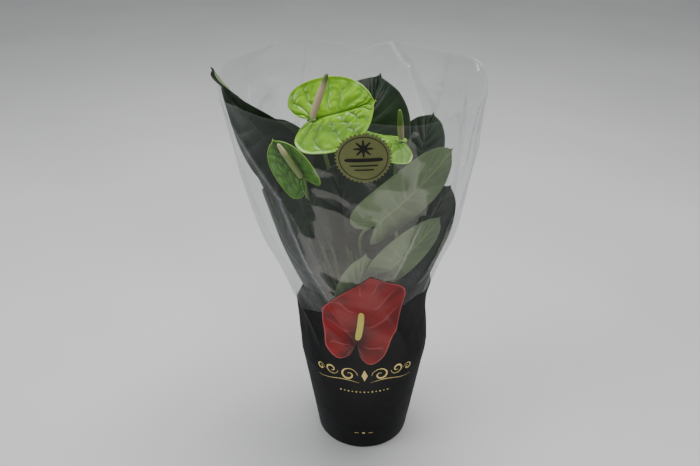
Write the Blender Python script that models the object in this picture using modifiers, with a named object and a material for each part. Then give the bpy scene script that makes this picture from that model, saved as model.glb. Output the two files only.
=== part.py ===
"""A potted anthurium in its florist's sleeve: pot, soil, three crowns, leaves, green flowers, film.

Metres, +Z up.  The pot stands on its base at the origin and the front of the sleeve faces -Y.
Places on the plant are given in the sleeve's own proportions, as a Spot: an azimuth in plan,
a share of the sleeve's radius, and a share of its height above the pot's rim.
"""

from dataclasses import dataclass
from math import cos, pi, radians, sin

import bmesh
import bpy
import numpy as np

NAME = "potted_anthurium"

# Clearances
GAP = 0.0003  # between pieces that touch
FLOOR_GAP = 0.0012  # under the hem of the sleeve

# Pot
POT_HEIGHT = 0.138
POT_BASE_RADIUS = 0.0560
POT_RIM_RADIUS = 0.0745
POT_WALL = 0.0010
POT_FLOOR = 0.0016
RIM_BAND_HEIGHT = 0.009
RIM_BAND_STEP = 0.0018
DRAIN_COUNT = 6
DRAIN_RADIUS = 0.0045
DRAIN_RING_SHARE = 0.72
POT_SIDES = 40

# Soil
SOIL_BELOW_RIM = 0.014
SOIL_DOME = 0.0035

# Sleeve
SLEEVE_MOUTH_HEIGHT = 0.463
SLEEVE_MOUTH_RADIUS = 0.1330
SLEEVE_LEAN = -0.0150  # the mouth's centre, sideways of the pot's
FILM = 0.0006
PANEL_COLUMNS = 20
# Share of the height above the rim, and share of the way from rim radius to mouth radius.
SLEEVE_PROFILE = ((0.0, 0.0), (0.17, -0.06), (0.36, 0.26), (0.51, 0.57), (0.71, 0.78), (1.0, 1.0))

# Plant
CROWN_RADIUS = 0.0060
CROWN_HEIGHT = 0.022
CROWN_RING_RADIUS = 0.019
STALK_FAN = 0.8  # radians between neighbouring stalks round a crown
PETIOLE_RADIUS = 0.0017
PEDUNCLE_RADIUS = 0.0021
BLADE = 0.0007
SPATHE = 0.0009
FILM_CLEARANCE = 0.0020  # between the film and what is pressed against it
PRESS_DEPTH = 0.0120  # how far in from the film it starts to bend a leaf

# Half an outline: across (shares of half the width) and along (shares of the length)
HEART = (
    (0.0, 0.0), (0.11, -0.088), (0.28, -0.17), (0.57, -0.21), (0.85, -0.12), (0.98, 0.10),
    (1.0, 0.34), (0.92, 0.57), (0.74, 0.76), (0.43, 0.90), (0.12, 0.975), (0.0, 1.0),
)
SPATHE_HEART = (
    (0.0, 0.0), (0.05, -0.08), (0.22, -0.26), (0.52, -0.36), (0.86, -0.24), (1.0, 0.06),
    (0.99, 0.38), (0.84, 0.65), (0.58, 0.83), (0.29, 0.935), (0.08, 0.98), (0.0, 1.0),
)
OUTLINE_STEPS = 11
RIB_STEPS = 3
BASAL_SHARE = 0.38  # of the outline whose ribs start at the stalk


@dataclass(frozen=True)
class Spot:
    """A place in the sleeve's own proportions."""

    azimuth: float
    out: float
    up: float


@dataclass(frozen=True)
class Blade:
    """A leaf blade or a spathe, and how its stalk reaches it.  Pairs of angles are an azimuth and
    an elevation, in degrees."""

    name: str
    base: Spot  # where the stalk joins the blade
    tip: Spot
    face: tuple  # which way the upper side looks
    aspect: float  # width over length
    fold: float  # degrees that each half is raised about the midrib
    arrive: tuple  # which way the end of the stalk points
    crown: int  # the crown that it grows from
    cup: float = 0.0  # how far the margins curl up, as a share of half the width
    arch: float = 0.0  # how far the midrib bows up, as a share of the length
    twist: float = 0.0  # degrees from base to tip
    bow: float = 0.0  # how far the stalk bows out from the sleeve's axis


@dataclass(frozen=True)
class Flower:
    """A spathe, and the spadix that stands on it."""

    spathe: Blade
    spadix: tuple  # how far it goes across, along and up from the spathe, as parts of its length
    spadix_length: float
    spadix_radius: float


LEAVES = (
    Blade(
        "leaf_back_right", base=Spot(95, 0.2, 0.61), tip=Spot(65, 0.55, 0.94), face=(-90, 25),
        aspect=0.86, fold=8, cup=0.1, arch=0.04, arrive=(80, 75), crown=1,
    ),
    Blade(
        "leaf_right", base=Spot(30, 0.66, 0.575), tip=Spot(37, 0.90, 0.80), face=(-120, 30),
        aspect=0.8, fold=12, cup=0.1, arch=0.06, arrive=(35, 75), crown=1,
    ),
    Blade(
        "leaf_back", base=Spot(108, 0.46, 0.62), tip=Spot(98, 0.76, 0.9), face=(-90, 22),
        aspect=0.8, fold=8, cup=0.05, arch=0.04, arrive=(90, 70), crown=1,
    ),
    Blade(
        "leaf_left", base=Spot(-155, 0.68, 0.77), tip=Spot(-157, 1.02, 1.078), face=(-70, 20),
        aspect=0.60, fold=28, cup=0.05, arch=-0.04, twist=80, arrive=(-160, 64), crown=2,
    ),
    Blade(
        "leaf_front_right", base=Spot(-79, 0.9, 0.665), tip=Spot(-39, 0.95, 0.862), face=(120, 20),
        aspect=0.82, fold=4, arch=-0.03, arrive=(-45, 30), crown=1, bow=0.015,
    ),
    Blade(
        "leaf_low_right", base=Spot(-71, 0.88, 0.464), tip=Spot(-40, 0.95, 0.623), face=(120, 15),
        aspect=0.85, fold=4, arch=-0.03, arrive=(-40, 25), crown=0,
    ),
    Blade(
        "leaf_low_front", base=Spot(-104, 0.84, 0.219), tip=Spot(-86, 0.92, 0.551), face=(100, 10),
        aspect=0.38, fold=12, arch=-0.02, arrive=(-85, 20), crown=0,
    ),
    Blade(
        "leaf_low_left", base=Spot(-142, 0.84, 0.27), tip=Spot(-141, 0.95, 0.74), face=(-140, -10),
        aspect=0.46, fold=-10, arrive=(-142, 25), crown=2,
    ),
    Blade(
        "leaf_edge_left", base=Spot(164, 0.74, 0.28), tip=Spot(174, 0.94, 0.70), face=(0, 10),
        aspect=0.62, fold=10, arrive=(175, 45), crown=2,
    ),
    Blade(
        "leaf_edge_right", base=Spot(-2, 0.62, 0.34), tip=Spot(-6, 0.86, 0.64), face=(-112, 14),
        aspect=0.8, fold=6, arrive=(0, 60), crown=1, bow=0.012,
    ),
    Blade(
        "leaf_young", base=Spot(-116, 0.82, 0.7), tip=Spot(-107, 0.87, 0.552), face=(-75, 20),
        aspect=0.4, fold=15, arrive=(-120, 45), crown=0, bow=0.016,
    ),
    Blade(
        "leaf_centre", base=Spot(-114, 0.34, 0.455), tip=Spot(-118, 0.3, 0.76), face=(-90, 22),
        aspect=0.74, fold=8, cup=0.05, arch=0.03, arrive=(-100, 80), crown=2,
    ),
    Blade(
        "leaf_back_left", base=Spot(148, 0.6, 0.48), tip=Spot(150, 0.88, 0.8), face=(-35, 15),
        aspect=0.75, fold=8, cup=0.05, arrive=(150, 70), crown=2,
    ),
    Blade(
        "leaf_low_back", base=Spot(84, 0.78, 0.22), tip=Spot(80, 0.92, 0.56), face=(-100, 10),
        aspect=0.62, fold=8, arrive=(85, 25), crown=1,
    ),
)

FLOWERS = (
    Flower(
        Blade(
            "flower_large", base=Spot(-125, 0.5, 0.926), tip=Spot(-69, 0.46, 0.984), face=(-85, 42),
            aspect=1.2, fold=-4, cup=0.1, arch=-0.04, arrive=(-105, 55), crown=2,
        ),
        spadix=(-0.58, 0.60, 0.55), spadix_length=0.046, spadix_radius=0.0036,
    ),
    Flower(
        Blade(
            "flower_left", base=Spot(-122, 0.77, 0.785), tip=Spot(-135, 0.83, 0.89), face=(-112, 24),
            aspect=1.05, fold=32, cup=0.14, arrive=(-120, 60), crown=0, bow=0.022,
        ),
        spadix=(0.17, 0.94, 0.28), spadix_length=0.042, spadix_radius=0.0032,
    ),
    Flower(
        Blade(
            "flower_right", base=Spot(-45, 0.5, 0.845), tip=Spot(-79, 0.45, 0.886), face=(-80, 74),
            aspect=1.3, fold=-24, cup=-0.15, arrive=(-40, 80), crown=1,
        ),
        spadix=(0.06, 0.49, 0.87), spadix_length=0.034, spadix_radius=0.0032,
    ),
)


def curve_through(points, steps):
    """A smooth curve through points, as an array of steps + 1 points (Catmull-Rom)."""
    anchors = np.array(points, dtype=float)
    padded = np.vstack([2 * anchors[0] - anchors[1], anchors, 2 * anchors[-1] - anchors[-2]])
    places = np.linspace(0.0, len(anchors) - 1.0, steps + 1)
    spans = np.minimum(places.astype(int), len(anchors) - 2)
    t = (places - spans)[:, None]
    a, b, c, d = (padded[spans + k] for k in range(4))
    return 0.5 * (2 * b + (c - a) * t + (2 * a - 5 * b + 4 * c - d) * t**2 + (3 * b - a - 3 * c + d) * t**3)


def film_rim_radius():
    """The film's inner radius at the pot's rim, where its flat facets just clear the rim."""
    return (POT_RIM_RADIUS + GAP) / cos(pi / (2 * PANEL_COLUMNS))


def film_hem_radius():
    """The film's inner radius at its hem."""
    return (POT_BASE_RADIUS + GAP) / cos(pi / (2 * PANEL_COLUMNS))


def sleeve_share(z):
    """Heights as shares of the sleeve's height above the pot's rim."""
    return (np.asarray(z, dtype=float) - POT_HEIGHT) / (SLEEVE_MOUTH_HEIGHT - POT_HEIGHT)


def sleeve_radius(z):
    """The film's inner radius at heights z; above the mouth nothing holds the leaves in."""
    rows = curve_through(SLEEVE_PROFILE, 40)
    share = sleeve_share(z)
    blend = np.interp(share, rows[:, 0], rows[:, 1]) + np.maximum(share - 1.012, 0.0) * 6.0
    radius = film_rim_radius() + blend * (SLEEVE_MOUTH_RADIUS - film_rim_radius())
    climb = np.minimum(np.asarray(z) / (POT_HEIGHT - RIM_BAND_HEIGHT), 1.0)
    hem = film_hem_radius() + climb * (film_rim_radius() - film_hem_radius())
    return np.where(share < 0.0, hem, radius)


def sleeve_centre(z):
    """The sideways place of the sleeve's axis at heights z."""
    return SLEEVE_LEAN * np.clip(sleeve_share(z), 0.0, 1.0)


def place(spot):
    """The point of a Spot."""
    z = POT_HEIGHT + spot.up * (SLEEVE_MOUTH_HEIGHT - POT_HEIGHT)
    share = min(spot.up, 1.0)
    held = float(sleeve_radius(POT_HEIGHT + share * (SLEEVE_MOUTH_HEIGHT - POT_HEIGHT)))
    radius = spot.out * held * (1.0 + 0.3 * max(spot.up - 1.0, 0.0))
    angle = radians(spot.azimuth)
    return np.array([float(sleeve_centre(z)) + radius * cos(angle), radius * sin(angle), z])


def direction(azimuth, elevation):
    """A unit vector."""
    a, e = radians(azimuth), radians(elevation)
    return np.array([cos(a) * cos(e), sin(a) * cos(e), sin(e)])


def unit(vector):
    """A vector of length 1."""
    return vector / np.linalg.norm(vector)


def press_inside(points, clearance):
    """Bend points that would pass through the film back inside it."""
    centre = sleeve_centre(points[..., 2])
    dx = points[..., 0] - centre
    dy = points[..., 1]
    radius = np.hypot(dx, dy)
    limit = sleeve_radius(points[..., 2]) - clearance
    knee = limit - PRESS_DEPTH
    over = np.maximum(radius - knee, 0.0)
    pressed = np.where(radius > knee, limit - PRESS_DEPTH * np.exp(-over / PRESS_DEPTH), radius)
    scale = pressed / np.maximum(radius, 1e-6)
    return np.stack([centre + dx * scale, dy * scale, points[..., 2]], axis=-1)


def blade_frame(blade):
    """A blade's origin, its axes (across, along, up from the face) and its length."""
    base, tip = place(blade.base), place(blade.tip)
    along = unit(tip - base)
    towards = direction(*blade.face)
    face = unit(towards - along * np.dot(towards, along))
    return base, np.cross(along, face), along, face, float(np.linalg.norm(tip - base))


def blade_points(blade, across, along):
    """The blade's surface at places given in shares of half its width and of its length."""
    base, side, forward, face, length = blade_frame(blade)
    half = 0.5 * blade.aspect * length
    fold = radians(blade.fold)
    distance = np.abs(across) * half
    lateral = np.sign(across) * distance * cos(fold)
    rise = distance * sin(fold) + blade.cup * half * across**2
    turn = np.radians(blade.twist) * np.clip(along, 0.0, 1.0)
    lateral, rise = lateral * np.cos(turn) - rise * np.sin(turn), lateral * np.sin(turn) + rise * np.cos(turn)
    bow = np.where(along > 0.0, 4.0 * along * (1.0 - along), 1.6 * along)
    rise = rise + blade.arch * length * bow
    points = base + side * lateral[..., None] + forward * (along * length)[..., None]
    points = points + face * rise[..., None]
    return press_inside(points, FILM_CLEARANCE)


def blade_grid(half_outline):
    """Places on a whole blade: rows run across it from margin to margin, along its ribs.

    The outline goes round its foot without turning back, so the ribs never cross, and the row
    of no width at the foot itself is left out, because it would leave slivers.
    """
    outline = curve_through(half_outline, OUTLINE_STEPS)[1:]
    steps = np.linspace(0.0, 1.0, OUTLINE_STEPS + 1)[1:]
    start = np.maximum((steps - BASAL_SHARE) / (1.0 - BASAL_SHARE), 0.0)
    share = np.linspace(0.0, 1.0, RIB_STEPS + 1)
    across = outline[:, :1] * share
    along = start[:, None] + (outline[:, 1:] - start[:, None]) * share
    across = np.hstack([-across[:, :0:-1], across])
    along = np.hstack([along[:, :0:-1], along])
    return across, along


def collection(name):
    """A collection in the scene."""
    made = bpy.data.collections.new(name)
    bpy.context.scene.collection.children.link(made)
    return made


def material(name, colour, roughness, metallic=0.0, alpha=1.0):
    """A plain Principled material."""
    made = bpy.data.materials.new(name)
    made.use_nodes = True
    shader = made.node_tree.nodes["Principled BSDF"]
    shader.inputs["Base Color"].default_value = (*colour, 1.0)
    shader.inputs["Roughness"].default_value = roughness
    shader.inputs["Metallic"].default_value = metallic
    shader.inputs["Alpha"].default_value = alpha
    return made


def add_object(name, data, group, finish):
    """An object that shows a mesh or a curve."""
    made = bpy.data.objects.new(name, data)
    group.objects.link(made)
    data.materials.append(finish)
    return made


def grid_mesh(name, points):
    """A mesh over a grid of points, with doubled points welded.

    It is cut into triangles here, so that both sides of a thickened sheet have the same diagonals.
    """
    rows, columns = points.shape[:2]
    faces = []
    for i in range(rows - 1):
        for j in range(columns - 1):
            corner = i * columns + j
            across = corner + columns + 1
            faces.append((corner, corner + 1, across))
            faces.append((corner, across, corner + columns))
    mesh = bpy.data.meshes.new(name)
    mesh.from_pydata(points.reshape(-1, 3).tolist(), [], faces)
    work = bmesh.new()
    work.from_mesh(mesh)
    bmesh.ops.remove_doubles(work, verts=work.verts, dist=1e-5)
    work.to_mesh(mesh)
    work.free()
    mesh.shade_smooth()
    return mesh


def thicken(thing, thickness, offset):
    """Give an open surface a thickness."""
    shell = thing.modifiers.new("Thickness", "SOLIDIFY")
    shell.thickness = thickness
    shell.offset = offset
    return shell


def turned(name, profile, sides, group, finish):
    """A closed solid of revolution about Z from a profile of (radius, z), outside first."""
    mesh = bpy.data.meshes.new(name)
    points = [(radius, 0.0, z) for radius, z in profile]
    edges = [(i, i + 1) for i in range(len(points) - 1)]
    mesh.from_pydata(points, edges, [])
    made = add_object(name, mesh, group, finish)
    screw = made.modifiers.new("Turn", "SCREW")
    screw.steps = sides
    screw.render_steps = sides
    screw.use_merge_vertices = True
    screw.merge_threshold = 0.0001
    screw.use_smooth_shade = True
    return made


def tube(name, points, radius, group, finish, radii=None):
    """A round rod along points, with filled ends."""
    curve = bpy.data.curves.new(name, "CURVE")
    curve.dimensions = "3D"
    curve.bevel_depth = radius
    curve.bevel_resolution = 2
    curve.use_fill_caps = True
    spline = curve.splines.new("POLY")
    spline.points.add(len(points) - 1)
    for i, point in enumerate(points):
        spline.points[i].co = (*point, 1.0)
        spline.points[i].radius = 1.0 if radii is None else radii[i]
    return add_object(name, curve, group, finish)


def add_pot(group, cutters, finish):
    """The nursery pot: one turned wall with a rim band, a floor and drain holes."""
    slope = (POT_RIM_RADIUS - RIM_BAND_STEP - POT_BASE_RADIUS) / (POT_HEIGHT - RIM_BAND_HEIGHT)
    band_z = POT_HEIGHT - RIM_BAND_HEIGHT
    wall_top = POT_RIM_RADIUS - RIM_BAND_STEP
    profile = (
        (POT_RIM_RADIUS - RIM_BAND_STEP - POT_WALL, POT_HEIGHT),
        (POT_RIM_RADIUS, POT_HEIGHT),
        (POT_RIM_RADIUS, band_z),
        (wall_top, band_z),
        (POT_BASE_RADIUS, 0.0),
        (0.0, 0.0),
    )
    inner = (
        (0.0, POT_FLOOR),
        (POT_BASE_RADIUS + slope * POT_FLOOR - POT_WALL, POT_FLOOR),
        (wall_top - POT_WALL, band_z),
        (POT_RIM_RADIUS - RIM_BAND_STEP - POT_WALL, POT_HEIGHT),
    )
    pot = turned("pot", profile + inner, POT_SIDES, group, finish)
    ring = DRAIN_RING_SHARE * POT_BASE_RADIUS
    for index in range(DRAIN_COUNT):
        angle = 2 * pi * index / DRAIN_COUNT
        bpy.ops.mesh.primitive_cylinder_add(
            vertices=12,
            radius=DRAIN_RADIUS,
            depth=6 * POT_FLOOR,
            location=(ring * cos(angle), ring * sin(angle), 0.0),
        )
        cutter = bpy.context.object
        cutter.name = f"drain_cutter_{index + 1}"
        cutter.hide_render = True
        cutter.display_type = "WIRE"
        bpy.context.collection.objects.unlink(cutter)
        cutters.objects.link(cutter)
        cut = pot.modifiers.new(f"Drain {index + 1}", "BOOLEAN")
        cut.operation = "DIFFERENCE"
        cut.object = cutter
    return pot


def pot_inner_radius(z):
    """The pot's inner radius at a height."""
    top = POT_HEIGHT - RIM_BAND_HEIGHT
    wall_top = POT_RIM_RADIUS - RIM_BAND_STEP
    share = min(max(z / top, 0.0), 1.0)
    return POT_BASE_RADIUS + (wall_top - POT_BASE_RADIUS) * share - POT_WALL


def soil_height(radius):
    """The height of the soil's surface at a distance from the pot's axis."""
    edge = pot_inner_radius(POT_HEIGHT - SOIL_BELOW_RIM)
    return POT_HEIGHT - SOIL_BELOW_RIM + SOIL_DOME * (1.0 - (radius / edge) ** 2)


def add_soil(group, finish):
    """The root ball: potting soil that fills the pot, slightly domed."""
    inset = 2 * GAP
    bottom = POT_FLOOR + GAP
    edge_z = POT_HEIGHT - SOIL_BELOW_RIM
    dome = [(0.0, soil_height(0.0))]
    for step in range(1, 5):
        radius = step / 5 * (pot_inner_radius(edge_z) - inset)
        dome.append((radius, soil_height(radius)))
    profile = [*dome, (pot_inner_radius(edge_z) - inset, edge_z)]
    profile.append((pot_inner_radius(bottom) - inset, bottom))
    profile.append((0.0, bottom))
    return turned("soil", profile, POT_SIDES, group, finish)


def crown_centre(index):
    """Where a crown stands on the soil."""
    angle = radians(-90 + 120 * index)
    return np.array([CROWN_RING_RADIUS * cos(angle), CROWN_RING_RADIUS * sin(angle), 0.0])


def add_crowns(group, finish):
    """The three short stems that the leaves and flowers grow from."""
    for index in range(3):
        centre = crown_centre(index)
        foot = soil_height(CROWN_RING_RADIUS - CROWN_RADIUS) + GAP
        heights = np.linspace(0.0, CROWN_HEIGHT, 4)
        points = [centre + np.array([0.0, 0.0, foot + height]) for height in heights]
        tube(f"crown_{index + 1}", points, CROWN_RADIUS, group, finish, (1.0, 0.95, 0.85, 0.55))


def stalk_route(blade, turn, radius):
    """A stalk's centre line, from beside its crown to the sinus of its blade."""
    _, _, _, face, _ = blade_frame(blade)
    joint = blade_points(blade, np.array([0.0]), np.array([0.0]))[0]
    arrive = direction(*blade.arrive)
    square = float(np.dot(arrive, face))
    if abs(square) > 0.5:
        setback = (SPATHE / 2 + GAP + radius * (1.2 - square**2) ** 0.5) / abs(square)
    else:
        setback = BLADE / 2 + GAP + 2.6 * radius
    end = joint - arrive * setback
    centre = crown_centre(blade.crown)
    ring = CROWN_RADIUS + radius + 2 * GAP
    around = np.array([ring * cos(turn), ring * sin(turn), 0.0])
    start = centre + around
    start[2] = soil_height(CROWN_RING_RADIUS - CROWN_RADIUS - 2 * radius) + 0.3 * radius + GAP
    reach = float(np.linalg.norm(end - start))
    outward = unit(around)
    lift = np.array([0.0, 0.0, 1.0])
    first = start + (lift + 0.25 * outward) * 0.40 * reach
    aside = unit(joint * np.array([1.0, 1.0, 0.0]))
    second = end - arrive * 0.30 * reach + aside * blade.bow
    t = np.linspace(0.0, 1.0, 9)[:, None]
    points = (1 - t) ** 3 * start + 3 * t * (1 - t) ** 2 * first + 3 * t**2 * (1 - t) * second + t**3 * end
    return press_inside(points, FILM_CLEARANCE + radius)


def stalk_turns():
    """For each blade, the side of its crown that it grows on: fanned out, in the order of the blades."""
    blades = [*LEAVES, *(flower.spathe for flower in FLOWERS)]
    turns = {}
    for crown in range(3):
        own = [blade for blade in blades if blade.crown == crown]
        targets = [place(blade.base) - crown_centre(crown) for blade in own]
        middle = sum(unit(target * np.array([1.0, 1.0, 0.0])) for target in targets)
        heading = np.arctan2(middle[1], middle[0])
        offsets = [(np.arctan2(target[1], target[0]) - heading + pi) % (2 * pi) for target in targets]
        step = min(2 * pi / len(own), STALK_FAN)
        for rank, index in enumerate(np.argsort(offsets)):
            turns[own[index].name] = float(heading) + (rank - 0.5 * (len(own) - 1)) * step
    return turns


def add_blade(blade, name, half_outline, thickness, group, finish):
    """A blade or a spathe."""
    across, along = blade_grid(half_outline)
    mesh = grid_mesh(name, blade_points(blade, across, along))
    made = add_object(name, mesh, group, finish)
    thicken(made, thickness, 0.0)
    return made


def add_leaves(group, blade_finish, stalk_finish, turns):
    """Every leaf: its blade and its petiole."""
    for leaf in LEAVES:
        add_blade(leaf, f"{leaf.name}_blade", HEART, BLADE, group, blade_finish)
        route = stalk_route(leaf, turns[leaf.name], PETIOLE_RADIUS)
        tube(f"{leaf.name}_petiole", route, PETIOLE_RADIUS, group, stalk_finish)


def add_flowers(group, spathe_finish, spadix_finish, stalk_finish, turns):
    """Every flower: its spathe, spadix and peduncle."""
    for flower in FLOWERS:
        spathe = flower.spathe
        add_blade(spathe, f"{spathe.name}_spathe", SPATHE_HEART, SPATHE, group, spathe_finish)
        route = stalk_route(spathe, turns[spathe.name], PEDUNCLE_RADIUS)
        tube(f"{spathe.name}_peduncle", route, PEDUNCLE_RADIUS, group, stalk_finish)
        _, side, forward, face, _ = blade_frame(spathe)
        foot = blade_points(spathe, np.array([0.0]), np.array([0.0]))[0]
        across, along, up = flower.spadix
        axis = unit(side * across + forward * along + face * up)
        tilt = float(np.sqrt(max(1.0 - np.dot(axis, face) ** 2, 0.0)))
        lift = SPATHE / 2 + GAP + flower.spadix_radius * (tilt + 0.2)
        t = np.array([0.0, 0.25, 0.5, 0.75, 0.92, 1.0])
        points = foot + face * lift + axis * (t * flower.spadix_length)[:, None]
        radii = (0.82, 1.0, 1.0, 0.85, 0.62, 0.35)
        tube(f"{spathe.name}_spadix", points, flower.spadix_radius, group, spadix_finish, radii)


def add_sleeve(group, finish):
    """The front and back panels of the sleeve, sealed to each other along both sides."""
    shares = curve_through(SLEEVE_PROFILE, 12)[:, 0]
    above = POT_HEIGHT + shares * (SLEEVE_MOUTH_HEIGHT - POT_HEIGHT)
    heights = np.concatenate([[FLOOR_GAP, 0.5 * POT_HEIGHT, POT_HEIGHT - RIM_BAND_HEIGHT], above])
    seam = GAP / (2 * film_hem_radius())
    for name, middle in (("sleeve_front", -pi / 2), ("sleeve_back", pi / 2)):
        angles = middle + np.linspace(-pi / 2 + seam, pi / 2 - seam, PANEL_COLUMNS + 1)
        radius = sleeve_radius(heights)[:, None]
        x = sleeve_centre(heights)[:, None] + radius * np.cos(angles)
        y = radius * np.sin(angles)
        z = np.repeat(heights[:, None], len(angles), axis=1)
        panel = add_object(name, grid_mesh(name, np.stack([x, y, z], axis=-1)), group, finish)
        thicken(panel, FILM, 1.0)


def main():
    """Clear the scene and build the potted plant."""
    for thing in list(bpy.data.objects):
        bpy.data.objects.remove(thing, do_unlink=True)
    group = collection(NAME)
    cutters = collection("cutters")
    black = material("pot_black", (0.018, 0.018, 0.019), 0.55)
    peat = material("peat", (0.045, 0.028, 0.017), 0.95)
    bark = material("crown_bark", (0.12, 0.10, 0.045), 0.8)
    leaf = material("leaf_green", (0.020, 0.062, 0.022), 0.30)
    stalk = material("stalk_green", (0.10, 0.19, 0.05), 0.45)
    lime = material("spathe_lime", (0.30, 0.52, 0.06), 0.22)
    cream = material("spadix_cream", (0.62, 0.52, 0.33), 0.55)
    film = material("clear_film", (0.9, 0.92, 0.94), 0.06, alpha=0.2)
    turns = stalk_turns()
    add_pot(group, cutters, black)
    add_soil(group, peat)
    add_crowns(group, bark)
    add_leaves(group, leaf, stalk, turns)
    add_flowers(group, lime, cream, stalk, turns)
    add_sleeve(group, film)


main()
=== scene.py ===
"""A potted anthurium in its florist's sleeve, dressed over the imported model.

The plant's places are kept in the sleeve's own proportions, as in the solid model: a Spot is an
azimuth in plan, a share of the film's radius and a share of its height above the pot's rim.
"""

import logging
from dataclasses import dataclass, field
from enum import Enum
from math import cos, pi, radians, sin

import bpy
import numpy as np
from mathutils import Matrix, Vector


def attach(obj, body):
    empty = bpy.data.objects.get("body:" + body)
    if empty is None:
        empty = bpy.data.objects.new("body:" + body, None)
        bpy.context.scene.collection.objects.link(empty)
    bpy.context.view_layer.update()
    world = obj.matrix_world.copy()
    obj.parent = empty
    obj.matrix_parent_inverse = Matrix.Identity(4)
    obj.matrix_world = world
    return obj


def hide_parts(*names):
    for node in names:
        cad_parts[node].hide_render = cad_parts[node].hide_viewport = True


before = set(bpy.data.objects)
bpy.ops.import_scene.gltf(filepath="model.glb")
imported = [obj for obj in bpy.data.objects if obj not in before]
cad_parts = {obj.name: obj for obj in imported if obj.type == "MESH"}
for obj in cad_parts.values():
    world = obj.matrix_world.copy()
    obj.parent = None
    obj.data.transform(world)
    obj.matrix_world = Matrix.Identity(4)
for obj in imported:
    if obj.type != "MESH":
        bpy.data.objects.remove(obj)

LOG = logging.getLogger("anthurium")

Array = np.ndarray
Pair = tuple[float, float]
Triple = tuple[float, float, float]
Colour = Triple
Outline = tuple[Pair, ...]
Piece = bpy.types.Object
Material = bpy.types.Material
Socket = bpy.types.NodeSocket

GAP = 0.0003  # between pieces that touch
POT_HEIGHT = 0.138
POT_BASE_RADIUS = 0.0560
POT_RIM_RADIUS = 0.0745
RIM_BAND_HEIGHT = 0.009
RIM_STEP = 0.0018  # from the rim's radius in to the top of the wall
POT_WALL = 0.0010
FLOOR_GAP = 0.0012  # under the hem of the sleeve
SOIL_BELOW_RIM = 0.014
SOIL_DOME = 0.0035
MOUTH_HEIGHT = 0.463
MOUTH_RADIUS = 0.1330
SLEEVE_LEAN = -0.0150  # the mouth's centre, sideways of the pot's
PANEL_COLUMNS = 20
# Share of the height above the rim, and share of the way from rim radius to mouth radius.
SLEEVE_PROFILE = ((0.0, 0.0), (0.17, -0.06), (0.36, 0.26), (0.51, 0.57), (0.71, 0.78), (1.0, 1.0))
CROWN_COUNT = 3
CROWN_RADIUS = 0.0060
CROWN_HEIGHT = 0.022
CROWN_RING_RADIUS = 0.019
STALK_FAN = 0.8  # radians between neighbouring stalks round a crown
FILM_CLEARANCE = 0.0020  # between the film and what is pressed against it
PRESS_DEPTH = 0.0120  # how far in from the film it starts to bend a leaf
BASAL_SHARE = 0.38  # of an outline whose side veins start at the stalk
HALF_BLADE = 0.00035
HALF_SPATHE = 0.00045
HALF_FILM = 0.0003
# The blade and the spathe whose relief is drawn at full height
USUAL_BLADE = 0.11
USUAL_SPATHE = 0.055
PANEL_REACH = 89.75  # degrees that a panel spans either side of its middle
# Radii that turn degrees round the film into metres, for its creases and its crumples
CREASE_RADIUS = 0.11
CRUMPLE_RADIUS = 0.095
# How far outside the film each layer of ink lies
BLACK_LIFT = 0.0003
SEAL_LIFT = 0.0005
INK_LIFT = 0.0006
LINE_LIFT = 0.0008
FINGER_LIFT = 0.0009
HAIRLINE = 1e-5  # what a stroke's ends keep of its width
CAMERA_PLACE = (-0.0167, -0.678, 0.686)
CAMERA_DIP = 30.84  # degrees below level
LIT_PLACE = (0.0, 0.0, 0.3)

HEART: Outline = (
    (0.0, 0.0), (0.03, -0.05), (0.11, -0.10), (0.28, -0.17), (0.45, -0.205), (0.65, -0.195),
    (0.85, -0.12), (0.97, 0.07), (1.0, 0.30), (0.94, 0.53), (0.78, 0.73), (0.50, 0.88),
    (0.24, 0.945), (0.09, 0.972), (0.035, 0.99), (0.0, 1.015),
)
SPATHE_HEART: Outline = (
    (0.0, 0.0), (0.02, -0.06), (0.08, -0.16), (0.22, -0.27), (0.52, -0.36), (0.86, -0.24),
    (1.0, 0.06), (0.99, 0.38), (0.84, 0.65), (0.58, 0.83), (0.28, 0.935), (0.10, 0.965),
    (0.03, 0.985), (0.0, 1.015),
)


# Curves and the sleeve's shape


def curve_through(points: Outline, steps: int) -> Array:
    """A smooth curve through points: each span is a cubic whose slopes are half the step between
    its neighbours (Catmull-Rom).

    Args:
        points: The places that the curve passes through.
        steps: How many equal parts it is read in.

    Returns:
        The steps + 1 places along it.
    """
    anchors = np.array(points, dtype=float)
    padded = np.vstack([2 * anchors[0] - anchors[1], anchors, 2 * anchors[-1] - anchors[-2]])
    places = np.linspace(0.0, len(anchors) - 1.0, steps + 1)
    spans = np.minimum(places.astype(int), len(anchors) - 2)
    t = (places - spans)[:, None]
    a, b, c, d = (padded[spans + k] for k in range(4))
    return 0.5 * (2 * b + (c - a) * t + (2 * a - 5 * b + 4 * c - d) * t**2 + (3 * b - a - 3 * c + d) * t**3)


def smooth_step(low: float, high: float, value: Array) -> Array:
    """0 below low, 1 above high, and a smooth S between them."""
    t = np.clip((value - low) / (high - low), 0.0, 1.0)
    return t * t * (3.0 - 2.0 * t)


def film_rim_radius() -> float:
    """The film's inner radius at the pot's rim."""
    return (POT_RIM_RADIUS + GAP) / cos(pi / (2 * PANEL_COLUMNS))


def film_hem_radius() -> float:
    """The film's inner radius at its hem."""
    return (POT_BASE_RADIUS + GAP) / cos(pi / (2 * PANEL_COLUMNS))


def sleeve_share(z: Array) -> Array:
    """Heights as shares of the sleeve's height above the pot's rim."""
    return (np.asarray(z, dtype=float) - POT_HEIGHT) / (MOUTH_HEIGHT - POT_HEIGHT)


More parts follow.
